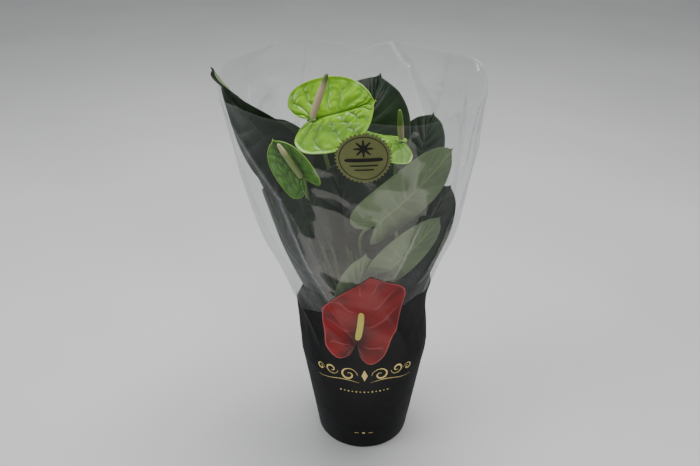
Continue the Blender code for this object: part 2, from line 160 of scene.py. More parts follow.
def sleeve_radius(z: Array) -> Array:
    """The film's inner radius: a cone up the pot, then the smooth profile up to the mouth.

    Args:
        z: Heights.

    Returns:
        The radius at each height; above the mouth it opens fast, because nothing holds there.
    """
    rows = curve_through(SLEEVE_PROFILE, 40)
    share = sleeve_share(z)
    blend = np.interp(share, rows[:, 0], rows[:, 1]) + np.maximum(share - 1.012, 0.0) * 6.0
    radius = film_rim_radius() + blend * (MOUTH_RADIUS - film_rim_radius())
    climb = np.minimum(np.asarray(z) / (POT_HEIGHT - RIM_BAND_HEIGHT), 1.0)
    hem = film_hem_radius() + climb * (film_rim_radius() - film_hem_radius())
    return np.where(share < 0.0, hem, radius)


def sleeve_centre(z: Array) -> Array:
    """The sideways place of the sleeve's axis at heights z."""
    return SLEEVE_LEAN * np.clip(sleeve_share(z), 0.0, 1.0)


def direction(azimuth: float, elevation: float) -> Array:
    """The unit vector of an azimuth and an elevation in degrees."""
    a, e = radians(azimuth), radians(elevation)
    return np.array([cos(a) * cos(e), sin(a) * cos(e), sin(e)])


def unit(vector: Array) -> Array:
    """Vectors of length 1."""
    return vector / np.linalg.norm(vector, axis=-1, keepdims=True)


def press_inside(points: Array, clearance: float) -> Array:
    """Bend points that would pass through the film back inside it: past a knee, the distance
    from the axis closes in on the film as one less an exponential.

    Args:
        points: Places, with their coordinates last.
        clearance: How far inside the film they stay.

    Returns:
        The bent places.
    """
    centre = sleeve_centre(points[..., 2])
    dx = points[..., 0] - centre
    dy = points[..., 1]
    radius = np.hypot(dx, dy)
    limit = sleeve_radius(points[..., 2]) - clearance
    over = np.maximum(radius - limit + PRESS_DEPTH, 0.0)
    pressed = np.where(over > 0.0, limit - PRESS_DEPTH * np.exp(-over / PRESS_DEPTH), radius)
    scale = pressed / np.maximum(radius, 1e-6)
    return np.stack([centre + dx * scale, dy * scale, points[..., 2]], axis=-1)


def folds(u: Array, v: Array, scales: tuple[Pair, ...], seed: int) -> Array:
    """Crumpled sheet: sharp ridges where sines cross zero, on directions bent by slower sines.

    Args:
        u: Places across the sheet, in metres.
        v: Places up the sheet, in metres.
        scales: Pairs of a ridge spacing and a height, both in metres.
        seed: Picks the directions.

    Returns:
        A height from 0 to the sum of the heights.
    """
    chance = np.random.default_rng(seed)
    total = np.zeros_like(u)
    for spacing, height in scales:
        turn, phase, bend = chance.uniform(0, pi), chance.uniform(0, 6, 3), chance.uniform(0.6, 1.3)
        along = u * cos(turn) + v * sin(turn)
        aside = v * cos(turn) - u * sin(turn)
        warp = bend * np.sin(aside * 2.1 / spacing + phase[0])
        warp = warp + 0.7 * np.sin(along * 1.3 / spacing + phase[1])
        total = total + height * (1.0 - np.abs(np.sin(pi * along / spacing + warp + phase[2])))
    return total


def round_ends(place: Array, power: int) -> Array:
    """The width, as a share, of a stroke whose places run from -1 to 1 and whose ends are round."""
    return np.sqrt(np.clip(1 - place**power, 0.0, 1.0))


# Meshes


def grid_faces(rows: int, columns: int, closed: bool = False) -> Array:
    """The quads of a grid of points, as rows of four indices.

    Args:
        rows: Rows of points.
        columns: Points in a row.
        closed: Whether each row's last point joins its first.

    Returns:
        The faces, which look along the rows' direction crossed with the columns'.
    """
    index = np.arange(rows * columns).reshape(rows, columns)
    right = np.roll(index, -1, axis=1)
    if not closed:
        index, right = index[:, :-1], right[:, :-1]
    return np.stack([index[:-1], right[:-1], right[1:], index[1:]], axis=-1).reshape(-1, 4)


def mesh_object(name: str, points: Array, faces: Array, finishes: list[Material], caps: tuple = ()) -> Piece:
    """A smooth-shaded object at the origin from whole arrays of points and faces.

    Args:
        name: The piece's name.
        points: Places, with their coordinates last.
        faces: Rows of indices.
        finishes: Its materials.
        caps: Faces with other numbers of corners.

    Returns:
        The object, in the scene.
    """
    mesh = bpy.data.meshes.new(name)
    mesh.from_pydata(points.reshape(-1, 3), [], [*faces.tolist(), *caps])
    mesh.shade_smooth()
    made = bpy.data.objects.new(name, mesh)
    bpy.context.scene.collection.objects.link(made)
    for finish in finishes:
        mesh.materials.append(finish)
    return made


def set_values(piece: Piece, name: str, values: Array) -> None:
    """Store one number for each vertex under a name that a material reads."""
    kept = piece.data.attributes.new(name, "FLOAT", "POINT")
    kept.data.foreach_set("value", np.ascontiguousarray(values, dtype=np.float32).ravel())


def thicken(piece: Piece, thickness: float, other_side: int = 0) -> None:
    """Give an open sheet a thickness, and its far side another of its materials."""
    shell = piece.modifiers.new("Thickness", "SOLIDIFY")
    shell.thickness = thickness
    shell.offset = 0.0
    shell.material_offset = other_side


def tube_points(path: Array, radii: Array, sides: int) -> Array:
    """Rings round a path. Each ring lies across the path's slope, and its first point keeps to
    one side by a reference that is carried along at right angles to the slope.

    Args:
        path: Places along the centre line.
        radii: A radius for each place, or for each place and side.
        sides: Points in a ring.

    Returns:
        A grid of points, one row to a ring.
    """
    slope = unit(np.gradient(path, axis=0))
    spare = np.array([0.31, 0.93, 0.19])
    side = unit(np.cross(slope, spare))
    up = np.cross(side, slope)
    turn = np.linspace(0.0, 2 * pi, sides, endpoint=False)
    turn = turn[None, :, None]
    ring = side[:, None, :] * np.cos(turn) - up[:, None, :] * np.sin(turn)
    return path[:, None, :] + ring * np.reshape(radii, (len(path), -1, 1))


def tube_object(name: str, path: Array, radii: Array, sides: int, finish: Material) -> Piece:
    """A closed rod along a path, whose end rings shrink to points.

    Args:
        name: The piece's name.
        path: Places along the centre line.
        radii: A radius for each place, or for each place and side.
        sides: Points in a ring.
        finish: Its material.

    Returns:
        The object, with its share of the length stored as along.
    """
    radii = np.reshape(radii, (len(path), -1))
    path = np.concatenate([path[:1], path, path[-1:]])
    path[0] += (path[1] - path[2]) * 0.02
    path[-1] += (path[-2] - path[-3]) * 0.02
    radii = np.concatenate([radii[:1] * 0.02, radii, radii[-1:] * 0.02])
    rows = np.arange(len(path) * sides).reshape(len(path), sides)
    caps = (rows[0, ::-1].tolist(), rows[-1].tolist())
    faces = grid_faces(len(path), sides, closed=True)
    piece = mesh_object(name, tube_points(path, radii, sides), faces, [finish], caps)
    set_values(piece, "along", np.repeat(np.linspace(0.0, 1.0, len(path)), sides))
    return piece


# Materials


class Shader:
    """A material's node tree, built from the surface back."""

    def __init__(self, name: str) -> None:
        """Start an empty material."""
        self.material = bpy.data.materials.new(name)
        self.material.use_nodes = True
        self.tree = self.material.node_tree
        self.tree.nodes.clear()
        self.output = self.tree.nodes.new("ShaderNodeOutputMaterial")

    def node(self, kind: str, inputs: dict | None = None, **settings: object) -> bpy.types.Node:
        """Add a node.

        Args:
            kind: Its type, without the leading ShaderNode.
            inputs: Values or sockets for its inputs, by name or index.
            settings: Its properties.

        Returns:
            The node.
        """
        made = self.tree.nodes.new(f"ShaderNode{kind}")
        for key, value in settings.items():
            setattr(made, key, value)
        for key, value in (inputs or {}).items():
            socket = made.inputs[key]
            if isinstance(value, Socket):
                self.tree.links.new(value, socket)
            else:
                socket.default_value = value
        return made

    def attribute(self, name: str) -> Socket:
        """A number stored on the mesh."""
        return self.node("Attribute", attribute_name=name).outputs["Fac"]

    def coordinates(self, scale: Triple = (1.0, 1.0, 1.0)) -> Socket:
        """The piece's own coordinates, stretched by a scale."""
        place = self.node("TexCoord").outputs["Object"]
        return self.node("Mapping", {"Vector": place, "Scale": scale}).outputs["Vector"]

    def noise(self, scale: float, detail: float = 3.0, vector: Socket | None = None) -> Socket:
        """Cloudy noise in the piece's own coordinates."""
        place = vector or self.coordinates()
        return self.node("TexNoise", {"Vector": place, "Scale": scale, "Detail": detail}).outputs["Fac"]

    def ramp(self, value: Socket, stops: tuple[tuple[float, tuple], ...]) -> Socket:
        """Colours by a number.

        Args:
            value: The number.
            stops: Pairs of a place from 0 to 1 and a linear colour.

        Returns:
            The colour.
        """
        made = self.node("ValToRGB", {"Fac": value})
        elements = made.color_ramp.elements
        while len(elements) < len(stops):
            elements.new(0.5)
        for element, (place, colour) in zip(elements, stops):
            element.position = place
            element.color = (*colour, 1.0)
        return made.outputs["Color"]

    def grey(self, value: Socket, low: float, high: float, at: Pair = (0.0, 1.0)) -> Socket:
        """A number moved from one range to another, held at its ends."""
        made = self.node("MapRange", {"Value": value, 1: at[0], 2: at[1], 3: low, 4: high})
        return made.outputs["Result"]

    def mix(self, share: object, first: object, second: object) -> Socket:
        """One colour over another by a share."""
        made = self.node("Mix", data_type="RGBA")
        for index, value in ((0, share), (6, first), (7, second)):
            if isinstance(value, Socket):
                self.tree.links.new(value, made.inputs[index])
            else:
                made.inputs[index].default_value = value if index == 0 else (*value, 1.0)
        return made.outputs[2]

    def math(self, operation: str, first: object, second: object = 0.0) -> Socket:
        """One step of arithmetic."""
        return self.node("Math", {0: first, 1: second}, operation=operation).outputs[0]

    def bump(self, height: Socket, distance: float, strength: float = 1.0) -> Socket:
        """A normal bent by a height in metres."""
        made = self.node("Bump", {"Height": height, "Distance": distance, "Strength": strength})
        return made.outputs["Normal"]

    def finish(self, surface: Socket) -> Material:
        """Join the surface to the output.

        Args:
            surface: A shader's output.

        Returns:
            The material.
        """
        self.tree.links.new(surface, self.output.inputs["Surface"])
        return self.material

    def principled(self, **inputs: object) -> Material:
        """End the material in the Principled surface.

        Args:
            inputs: Its inputs by name, with underscores for spaces.

        Returns:
            The material.
        """
        named = {key.replace("_", " "): value for key, value in inputs.items()}
        return self.finish(self.node("BsdfPrincipled", named).outputs[0])


@dataclass(frozen=True)
class LeafFinish:
    """Leathery blade: a dark or pale green between lighter veins, with faint mottling."""

    name: str
    green: Colour
    deep: Colour
    vein: Colour
    roughness: float
    coat: float

    def make(self) -> Material:
        """Build the material."""
        s = Shader(self.name)
        cloud = s.noise(38.0, 4.0)
        green = s.ramp(cloud, ((0.35, self.deep), (0.68, self.green)))
        colour = s.mix(s.math("MULTIPLY", s.attribute("vein"), 0.75), green, self.vein)
        rough = s.grey(s.noise(160.0), self.roughness - 0.05, self.roughness + 0.08)
        grain = s.bump(s.noise(240.0, 2.0), 0.0002, 0.3)
        return s.principled(
            Base_Color=colour, Roughness=rough, Normal=grain, Coat_Weight=self.coat, Coat_Roughness=0.22,
        )


@dataclass(frozen=True)
class SpatheFinish:
    """Waxy spathe: lime green, with painted shade in the hollows of its quilting, along its midrib
    and round the spadix's foot, and paler at the rim.
    """

    name: str
    lime: Colour
    shade: Colour
    rim: Colour
    roughness: float = 0.28

    def make(self) -> Material:
        """Build the material."""
        s = Shader(self.name)
        # painted shade: the hollows between the quilting's ridges, the midrib's groove and the well at the
        # spadix's foot are mixed towards the darker green; the cloud below is random mottling
        body = s.mix(s.grey(s.attribute("painted_hollow_shade"), 0.0, 0.95), self.lime, self.shade)
        cloud = s.grey(s.noise(55.0, 4.0), 0.0, 0.5, (0.4, 0.75))
        body = s.mix(cloud, body, self.shade)
        body = s.mix(s.grey(s.attribute("vein"), 0.0, 0.08), body, self.rim)
        colour = s.mix(s.grey(s.attribute("margin"), 0.0, 0.5, (0.975, 1.0)), body, self.rim)
        fine = s.bump(s.noise(420.0, 3.0), 0.0003, 0.35)
        return s.principled(
            Base_Color=colour, Roughness=self.roughness, Normal=fine, Specular_IOR_Level=0.35,
            Coat_Weight=0.35, Coat_Roughness=0.08, Subsurface_Weight=0.08,
            Subsurface_Radius=(0.002, 0.003, 0.001), Subsurface_Scale=0.6,
        )


@dataclass(frozen=True)
class SpadixFinish:
    """Beaded spadix: one colour at the foot and another at the tip, with painted shade in the
    grooves between its beads.
    """

    name: str
    foot: Colour
    tip: Colour
    change: float
    blur: float = 0.10

    def make(self) -> Material:
        """Build the material."""
        s = Shader(self.name)
        along = s.math("ADD", s.attribute("along"), s.grey(s.noise(300.0), -0.06, 0.06))
        share = s.grey(along, 0.0, 1.0, (self.change - self.blur, self.change + self.blur))
        colour = s.mix(share, self.foot, self.tip)
        # painted shade: the grooves between the beads are mixed towards a dark olive
        colour = s.mix(s.grey(s.attribute("bead"), 0.35, 0.0), colour, (0.13, 0.12, 0.03))
        return s.principled(Base_Color=colour, Roughness=0.5, Normal=s.bump(s.noise(1500.0), 0.0001, 0.5))


@dataclass(frozen=True)
class StalkFinish:
    """Smooth stalk: streaked green, paler at one end."""

    name: str
    green: Colour
    streak: Colour
    roughness: float = 0.42

    def make(self) -> Material:
        """Build the material."""
        s = Shader(self.name)
        streaks = s.noise(1.0, 3.0, s.coordinates((900.0, 900.0, 25.0)))
        colour = s.mix(s.grey(streaks, 0.0, 0.6, (0.4, 0.7)), self.green, self.streak)
        colour = s.mix(s.grey(s.attribute("along"), 0.35, 0.0, (0.0, 0.25)), colour, (0.16, 0.14, 0.05))
        ribs = s.bump(streaks, 0.0002, 0.3)
        return s.principled(Base_Color=colour, Roughness=self.roughness, Normal=ribs)


@dataclass(frozen=True)
class CrumbFinish:
    """Peat, bark or dry sheath: dull, mottled and rough at two scales."""

    name: str
    light: Colour
    dark: Colour
    scale: float
    roughness: float = 0.95

    def make(self) -> Material:
        """Build the material."""
        s = Shader(self.name)
        coarse, fine = s.noise(self.scale, 5.0), s.noise(self.scale * 5.0, 4.0)
        grain = s.math("MULTIPLY", s.math("ADD", coarse, fine), 0.5)
        colour = s.ramp(grain, ((0.36, self.dark), (0.62, self.light)))
        height = s.bump(fine, 0.0012, 0.8)
        return s.principled(Base_Color=colour, Roughness=self.roughness, Normal=height)


@dataclass(frozen=True)
class PlasticFinish:
    """Moulded black plastic with a fine texture and dusty patches."""

    name: str
    black: Colour
    dust: Colour

    def make(self) -> Material:
        """Build the material."""
        s = Shader(self.name)
        colour = s.mix(s.grey(s.noise(24.0, 5.0), 0.0, 0.5, (0.5, 0.8)), self.black, self.dust)
        rough = s.grey(s.noise(60.0, 4.0), 0.42, 0.62)
        grain = s.bump(s.noise(2200.0, 2.0), 0.0001, 0.4)
        return s.principled(Base_Color=colour, Roughness=rough, Normal=grain)


@dataclass(frozen=True)
class FilmFinish:
    """Clear film: it lets light through, mirrors it more at a slant, and is milky where it is
    sealed; the milky white along its folds and its cut rim is partly real whitening and partly painted
    highlight."""

    name: str
    index: float
    haze: float
    milk_and_painted_glint: float

    def make(self) -> Material:
        """Build the material."""
        s = Shader(self.name)
        normal = s.bump(s.noise(26.0, 2.0), 0.0016, 0.35)
        clear = s.node("BsdfTransparent", {"Color": (0.97, 0.975, 0.98, 1.0)})
        gloss = s.node("BsdfGlossy", {"Color": (1.0, 1.0, 1.0, 1.0), "Roughness": 0.07, "Normal": normal})
        milk_and_painted_glint = s.node("BsdfDiffuse", {"Color": (0.82, 0.83, 0.85, 1.0)})
        mirror = s.math("MINIMUM", s.node("Fresnel", {"IOR": self.index, "Normal": normal}).outputs[0], 0.28)
        film = s.node("MixShader", {0: mirror, 1: clear.outputs[0], 2: gloss.outputs[0]})
        # painted highlight: the milky diffuse along the creases and the cut rim stands in for glints on the
        # folds and edges, partly real whitening; along the seals it is the film's own milkiness
        cloud = s.grey(s.attribute("edge"), self.haze, self.milk_and_painted_glint)
        surface = s.node("MixShader", {0: cloud, 1: film.outputs[0], 2: milk_and_painted_glint.outputs[0]})
        return s.finish(surface.outputs[0])


@dataclass(frozen=True)
class InkFinish:
    """Ink on the film: satin, a little uneven, with the film's wrinkles under it."""

    name: str
    ink: Colour
    worn: Colour
    roughness: float
    metallic: float = 0.0
    shine: float = 0.22

    def make(self) -> Material:
        """Build the material."""
        s = Shader(self.name)
        colour = s.mix(s.grey(s.noise(70.0, 4.0), 0.0, 0.6, (0.45, 0.8)), self.ink, self.worn)
        wrinkle = s.bump(s.noise(30.0, 2.0), 0.0012, 0.4)
        rough = s.grey(s.noise(90.0), self.roughness - 0.06, self.roughness + 0.1)
        return s.principled(
            Base_Color=colour, Roughness=rough, Metallic=self.metallic, Specular_IOR_Level=self.shine,
            Normal=wrinkle,
        )


@dataclass(frozen=True)
class PetalInkFinish:
    """The printed flower: red, with deep shade and pale lines drawn as on a printed picture."""

    name: str
    red: Colour
    shade: Colour
    light: Colour

    def make(self) -> Material:
        """Build the material."""
        s = Shader(self.name)
        colour = s.mix(s.attribute("shade"), self.red, self.shade)
        colour = s.mix(s.attribute("light"), colour, self.light)
        wrinkle = s.bump(s.noise(30.0, 2.0), 0.0012, 0.4)
        return s.principled(Base_Color=colour, Roughness=0.28, Specular_IOR_Level=0.25, Normal=wrinkle)


@dataclass(frozen=True)
class StageFinish:
    """Matt pale paint, faintly clouded."""

    name: str
    pale: Colour

    def make(self) -> Material:
        """Build the material."""
        s = Shader(self.name)
        shade = tuple(0.93 * c for c in self.pale)
        colour = s.ramp(s.noise(3.0, 4.0), ((0.3, shade), (0.7, self.pale)))
        return s.principled(Base_Color=colour, Roughness=0.85)


# The plant


class Side(Enum):
    """Which panel of the sleeve, by the azimuth of its middle."""

    FRONT = -90.0
    BACK = 90.0


@dataclass(frozen=True)
class Spot:
    """A place in the sleeve's own proportions."""

    azimuth: float
    out: float
    up: float

    def place(self) -> Array:
        """The point."""
        z = POT_HEIGHT + self.up * (MOUTH_HEIGHT - POT_HEIGHT)
        share = min(self.up, 1.0)
        held = float(sleeve_radius(POT_HEIGHT + share * (MOUTH_HEIGHT - POT_HEIGHT)))
        radius = self.out * held * (1.0 + 0.3 * max(self.up - 1.0, 0.0))
        angle = radians(self.azimuth)
        return np.array([float(sleeve_centre(z)) + radius * cos(angle), radius * sin(angle), z])


@dataclass(frozen=True)
class Blade:
    """A leaf blade or a spathe, and how its stalk reaches it. Pairs of angles are an azimuth and
    an elevation in degrees."""

    name: str
    base: Spot
    tip: Spot
    face: Pair
    aspect: float
    fold: float
    arrive: Pair
    crown: int
    cup: float = 0.0
    arch: float = 0.0
    twist: float = 0.0
    bow: float = 0.0

    def axes(self) -> tuple[Array, Array, Array, Array, float]:
        """The blade's foot, its axes (across, along, up from the face) and its length."""
        base, tip = self.base.place(), self.tip.place()
        along = unit(tip - base)
        towards = direction(*self.face)
        face = unit(towards - along * np.dot(towards, along))
        return base, np.cross(along, face), along, face, float(np.linalg.norm(tip - base))

    def surface(self, across: Array, along: Array, relief: Array | float = 0.0) -> Array:
        """The blade's surface: a flat heart, folded about its midrib, cupped with the square of
        the way across, arched with a parabola along it, twisted in proportion to the way along,
        then bent inside the film.

        Args:
            across: Shares of half the width.
            along: Shares of the length.
            relief: Height above that surface, in metres.

        Returns:
            The points.
        """
        base, side, forward, face, length = self.axes()
        half = 0.5 * self.aspect * length
        fold = radians(self.fold)
        distance = np.abs(across) * half
        lateral = np.sign(across) * distance * cos(fold)
        rise = distance * sin(fold) + self.cup * half * across**2 + relief
        turn = np.radians(self.twist) * np.clip(along, 0.0, 1.0)
        c, s = np.cos(turn), np.sin(turn)
        lateral, rise = lateral * c - rise * s, lateral * s + rise * c
        bow = np.where(along > 0.0, 4.0 * along * (1.0 - along), 1.6 * along)
        rise = rise + self.arch * length * bow
        points = base + side * lateral[..., None] + forward * (along * length)[..., None]
        return press_inside(points + face * rise[..., None], FILM_CLEARANCE)


def ribbed_grid(outline: Outline, rows: int, columns: int, sweep: float) -> tuple[Array, Array, Array, Array]:
    """Places on a whole blade whose rows run along its side veins, from margin to margin.

    Args:
        outline: Half the blade's outline.
        rows: Rows from the notch to the tip.
        columns: Columns on each side of the midrib.
        sweep: The power by which a vein leaves the midrib squarely and then bends to the tip.

    Returns:
        The places across and along, each row's share of the outline, and each column's share of
        the way to the margin, all on the grid.
    """
    edge = curve_through(outline, rows)[1:]
    steps = np.linspace(0.0, 1.0, rows + 1)[1:]
    start = np.maximum((steps - BASAL_SHARE) / (1.0 - BASAL_SHARE), 0.0)
    share = np.linspace(0.0, 1.0, columns + 1) ** 0.9
    bend = np.where(edge[:, 1:] > start[:, None], share**sweep, share)
    across = edge[:, :1] * share
    along = start[:, None] + (edge[:, 1:] - start[:, None]) * bend
    across = np.hstack([-across[:, :0:-1], across])
    along = np.hstack([along[:, :0:-1], along])
    way = np.broadcast_to(np.concatenate([share[:0:-1], share]), across.shape)
    return across, along, np.broadcast_to(steps[:, None], across.shape), way


@dataclass
class Foliage:
    """The leaves and their stalks."""

    leaves: tuple[Blade, ...]
    rows: int = 132
    columns: int = 34
    veins: int = 15
    vein_depth: float = 0.00055
    thickness: float = 0.0005
    stalk_radius: float = 0.0017
    upper: LeafFinish = LeafFinish(
        "leaf_upper", (0.009, 0.028, 0.006), (0.004, 0.013, 0.003), (0.016, 0.042, 0.010), 0.30, 0.12
    )
    lower: LeafFinish = LeafFinish(
        "leaf_lower", (0.140, 0.210, 0.070), (0.088, 0.145, 0.042), (0.26, 0.33, 0.13), 0.45, 0.05
    )
    stalk: StalkFinish = StalkFinish("leaf_stalk", (0.10, 0.19, 0.05), (0.05, 0.11, 0.03))

    def build_blade(self, leaf: Blade, index: int, finishes: list[Material]) -> Piece:
        """A blade. Its side veins are sunk lines at even shares of the outline, the sheet swells
        between them with a sine, the midrib is a groove, and the margin ripples.

        Args:
            leaf: Which leaf.
            index: Its number, which sets how its margin ripples.
            finishes: The upper and the lower side's materials.

        Returns:
            The blade.
        """
        across, along, step, way = ribbed_grid(HEART, self.rows, self.columns, 1.35)
        length = leaf.axes()[-1]
        scale = min(length / USUAL_BLADE, 1.2)
        phase = step * self.veins
        line = np.abs(phase - np.round(phase)) / self.veins
        side_vein = np.exp(-((line / 0.0052) ** 2)) * (1.0 - 0.75 * way) * smooth_step(0.0, 0.06, way)
        midrib = np.exp(-((across / 0.022) ** 2)) * smooth_step(1.02, 0.9, along)
        swell = np.sin(pi * (phase - np.floor(phase))) ** 2 * np.sin(pi * np.clip(way, 0.0, 1.0)) ** 0.7
        chance = np.random.default_rng(40 + index)
        waves, turn = chance.uniform(2.2, 3.4), chance.uniform(0, 6, 2)
        side = np.where(across < 0.0, turn[0], turn[1])
        ripple = np.sin(2 * pi * waves * step + side) * way**3 * 0.030 * length * (0.3 + leaf.aspect) * 0.5
        relief = scale * (-self.vein_depth * (side_vein + 1.3 * midrib) + 0.0007 * swell) + ripple * 0.8
        piece = mesh_object(
            f"{leaf.name}_leaf", leaf.surface(across, along, relief), grid_faces(*across.shape), finishes
        )
        set_values(piece, "vein", np.maximum(side_vein * 0.7, midrib))
        thicken(piece, self.thickness, 1)
        return piece

    def build(self, stalks: "Stalks") -> dict[str, Piece]:
        """Build every leaf and its stalk.

        Args:
            stalks: Draws the stalks' centre lines.

        Returns:
            The pieces by the node that each replaces.
        """
        finishes = [self.upper.make(), self.lower.make()]
        green = self.stalk.make()
        made = {}
        for index, leaf in enumerate(self.leaves):
            made[f"{leaf.name}_blade"] = self.build_blade(leaf, index, finishes)
            made[f"{leaf.name}_petiole"] = stalks.build(leaf, self.stalk_radius, f"{leaf.name}_stalk", green)
        return made


@dataclass(frozen=True)
class Flower:
    """A spathe and the spadix that stands on it, whose direction is given across, along and up
    from the spathe."""

    spathe: Blade
    spadix: Triple
    spadix_length: float
    spadix_radius: float
    lime: Colour
    shade: Colour
    foot: Colour
    tip: Colour
    change: float


@dataclass
class Flowers:
    """The spathes, spadices and their stalks."""

    flowers: tuple[Flower, ...]
    rows: int = 200
    columns: int = 64
    veins: int = 11
    quilt: float = 0.0015
    thickness: float = 0.0007
    stalk_radius: float = 0.0021
    rim: Colour = (0.36, 0.55, 0.07)
    stalk: StalkFinish = StalkFinish("flower_stalk", (0.16, 0.26, 0.06), (0.10, 0.18, 0.04), 0.38)

    def build_spathe(self, flower: Flower, finish: Material) -> Piece:
        """A spathe. Its veins are deep lines at even shares of the outline, and the quilting
        between them is a sine across each strip times a slower one along it, shifted from strip
        to strip; the rim is turned up a little. The hollows, the midrib's groove and the well at
        the foot are stored as a mask for painted shade.

        Args:
            flower: Which flower.
            finish: Its material.

        Returns:
            The spathe.
        """
        spathe = flower.spathe
        across, along, step, way = ribbed_grid(SPATHE_HEART, self.rows, self.columns, 1.25)
        length = spathe.axes()[-1]
        wander = folds(across * 0.5, along * 0.5, ((0.30, 1.0), (0.13, 0.5)), 21 + len(spathe.name))
        phase = step * self.veins + 0.30 * wander + 0.15 * np.sin(7.0 * way + 9.0 * step)
        strip = np.floor(phase)
        ridge = np.abs(np.sin(pi * phase)) ** 0.6
        cells = 0.72 + 0.28 * np.sin(pi * (3.0 * way + 0.61 * strip + 0.9 * wander)) ** 2
        fade = smooth_step(0.04, 0.22, way) * smooth_step(1.0, 0.86, way)
        midrib = np.exp(-((across / 0.030) ** 2)) * smooth_step(1.02, 0.8, along)
        well = np.exp(-((across**2 + (along + 0.01) ** 2) / 0.012))
        relief = self.quilt * length / USUAL_SPATHE * (ridge * cells * fade - 0.9 * midrib)
        relief = relief - 0.0030 * length / USUAL_SPATHE * well + 0.0016 * smooth_step(0.90, 1.0, way)
        relief = relief + 0.0016 * np.sin(2 * pi * 2.6 * step + 1.0 + across) * way**3
        piece = mesh_object(
            f"{spathe.name}_bract", spathe.surface(across, along, relief), grid_faces(*across.shape), [finish]
        )
        # painted shade: a mask that darkens the hollows, the midrib's groove and the well at the foot
        painted_hollow_shade = (1.0 - ridge * cells) * fade * 0.9 + 0.9 * midrib + well
        set_values(piece, "painted_hollow_shade", np.clip(painted_hollow_shade, 0.0, 1.0))
        set_values(piece, "vein", np.exp(-((np.abs(phase - np.round(phase)) / 0.055) ** 2)) * fade)
        set_values(piece, "margin", way)
        thicken(piece, self.thickness)
        return piece

    def build_spadix(self, flower: Flower, finish: Material) -> Piece:
        """A spadix: a rod that narrows to a blunt tip, beaded by crossed sines that wind round it
        both ways.

        Args:
            flower: Which flower.
            finish: Its material.

        Returns:
            The spadix.
        """
        spathe = flower.spathe
        _, side, forward, face, _ = spathe.axes()
        foot = spathe.surface(np.array([0.0]), np.array([0.0]))[0]
        across, along, up = flower.spadix
        axis = unit(side * across + forward * along + face * up)
        tilt = float(np.sqrt(max(1.0 - np.dot(axis, face) ** 2, 0.0)))
        t = np.linspace(0.0, 1.0, 150)
        lift = HALF_SPATHE + GAP + flower.spadix_radius * (tilt + 0.2)
        path = foot + face * lift + axis * (t * flower.spadix_length)[:, None]
        places = [0, 0.06, 0.25, 0.5, 0.75, 0.92, 0.98, 1]
        body = np.interp(t, places, [0.80, 0.92, 1, 0.98, 0.85, 0.62, 0.42, 0.18])
        turn = np.linspace(0.0, 2 * pi, 40, endpoint=False)[None, :]
        rise = 2 * pi * t[:, None] * flower.spadix_length / 0.0105
        bead = np.abs(np.sin(4 * turn + 4 * rise)) * np.abs(np.sin(4 * turn - 4 * rise))
        radii = flower.spadix_radius * body[:, None] * (0.955 + 0.075 * bead)
        piece = tube_object(f"{spathe.name}_finger", path, radii, 40, finish)
        # the bead height also sets the painted shade in the grooves between the beads
        set_values(piece, "bead", np.concatenate([bead[:1], bead, bead[-1:]]))
        return piece

    def build(self, stalks: "Stalks") -> dict[str, Piece]:
        """Build every flower and its stalk.

        Args:
            stalks: Draws the stalks' centre lines.

        Returns:
            The pieces by the node that each replaces.
        """
        green = self.stalk.make()
        made = {}
        for flower in self.flowers:
            name = flower.spathe.name
            lime = SpatheFinish(f"{name}_wax", flower.lime, flower.shade, self.rim).make()
            cream = SpadixFinish(f"{name}_beads", flower.foot, flower.tip, flower.change).make()
            made[f"{name}_spathe"] = self.build_spathe(flower, lime)
            made[f"{name}_spadix"] = self.build_spadix(flower, cream)
            made[f"{name}_peduncle"] = stalks.build(flower.spathe, self.stalk_radius, f"{name}_stalk", green)
        return made


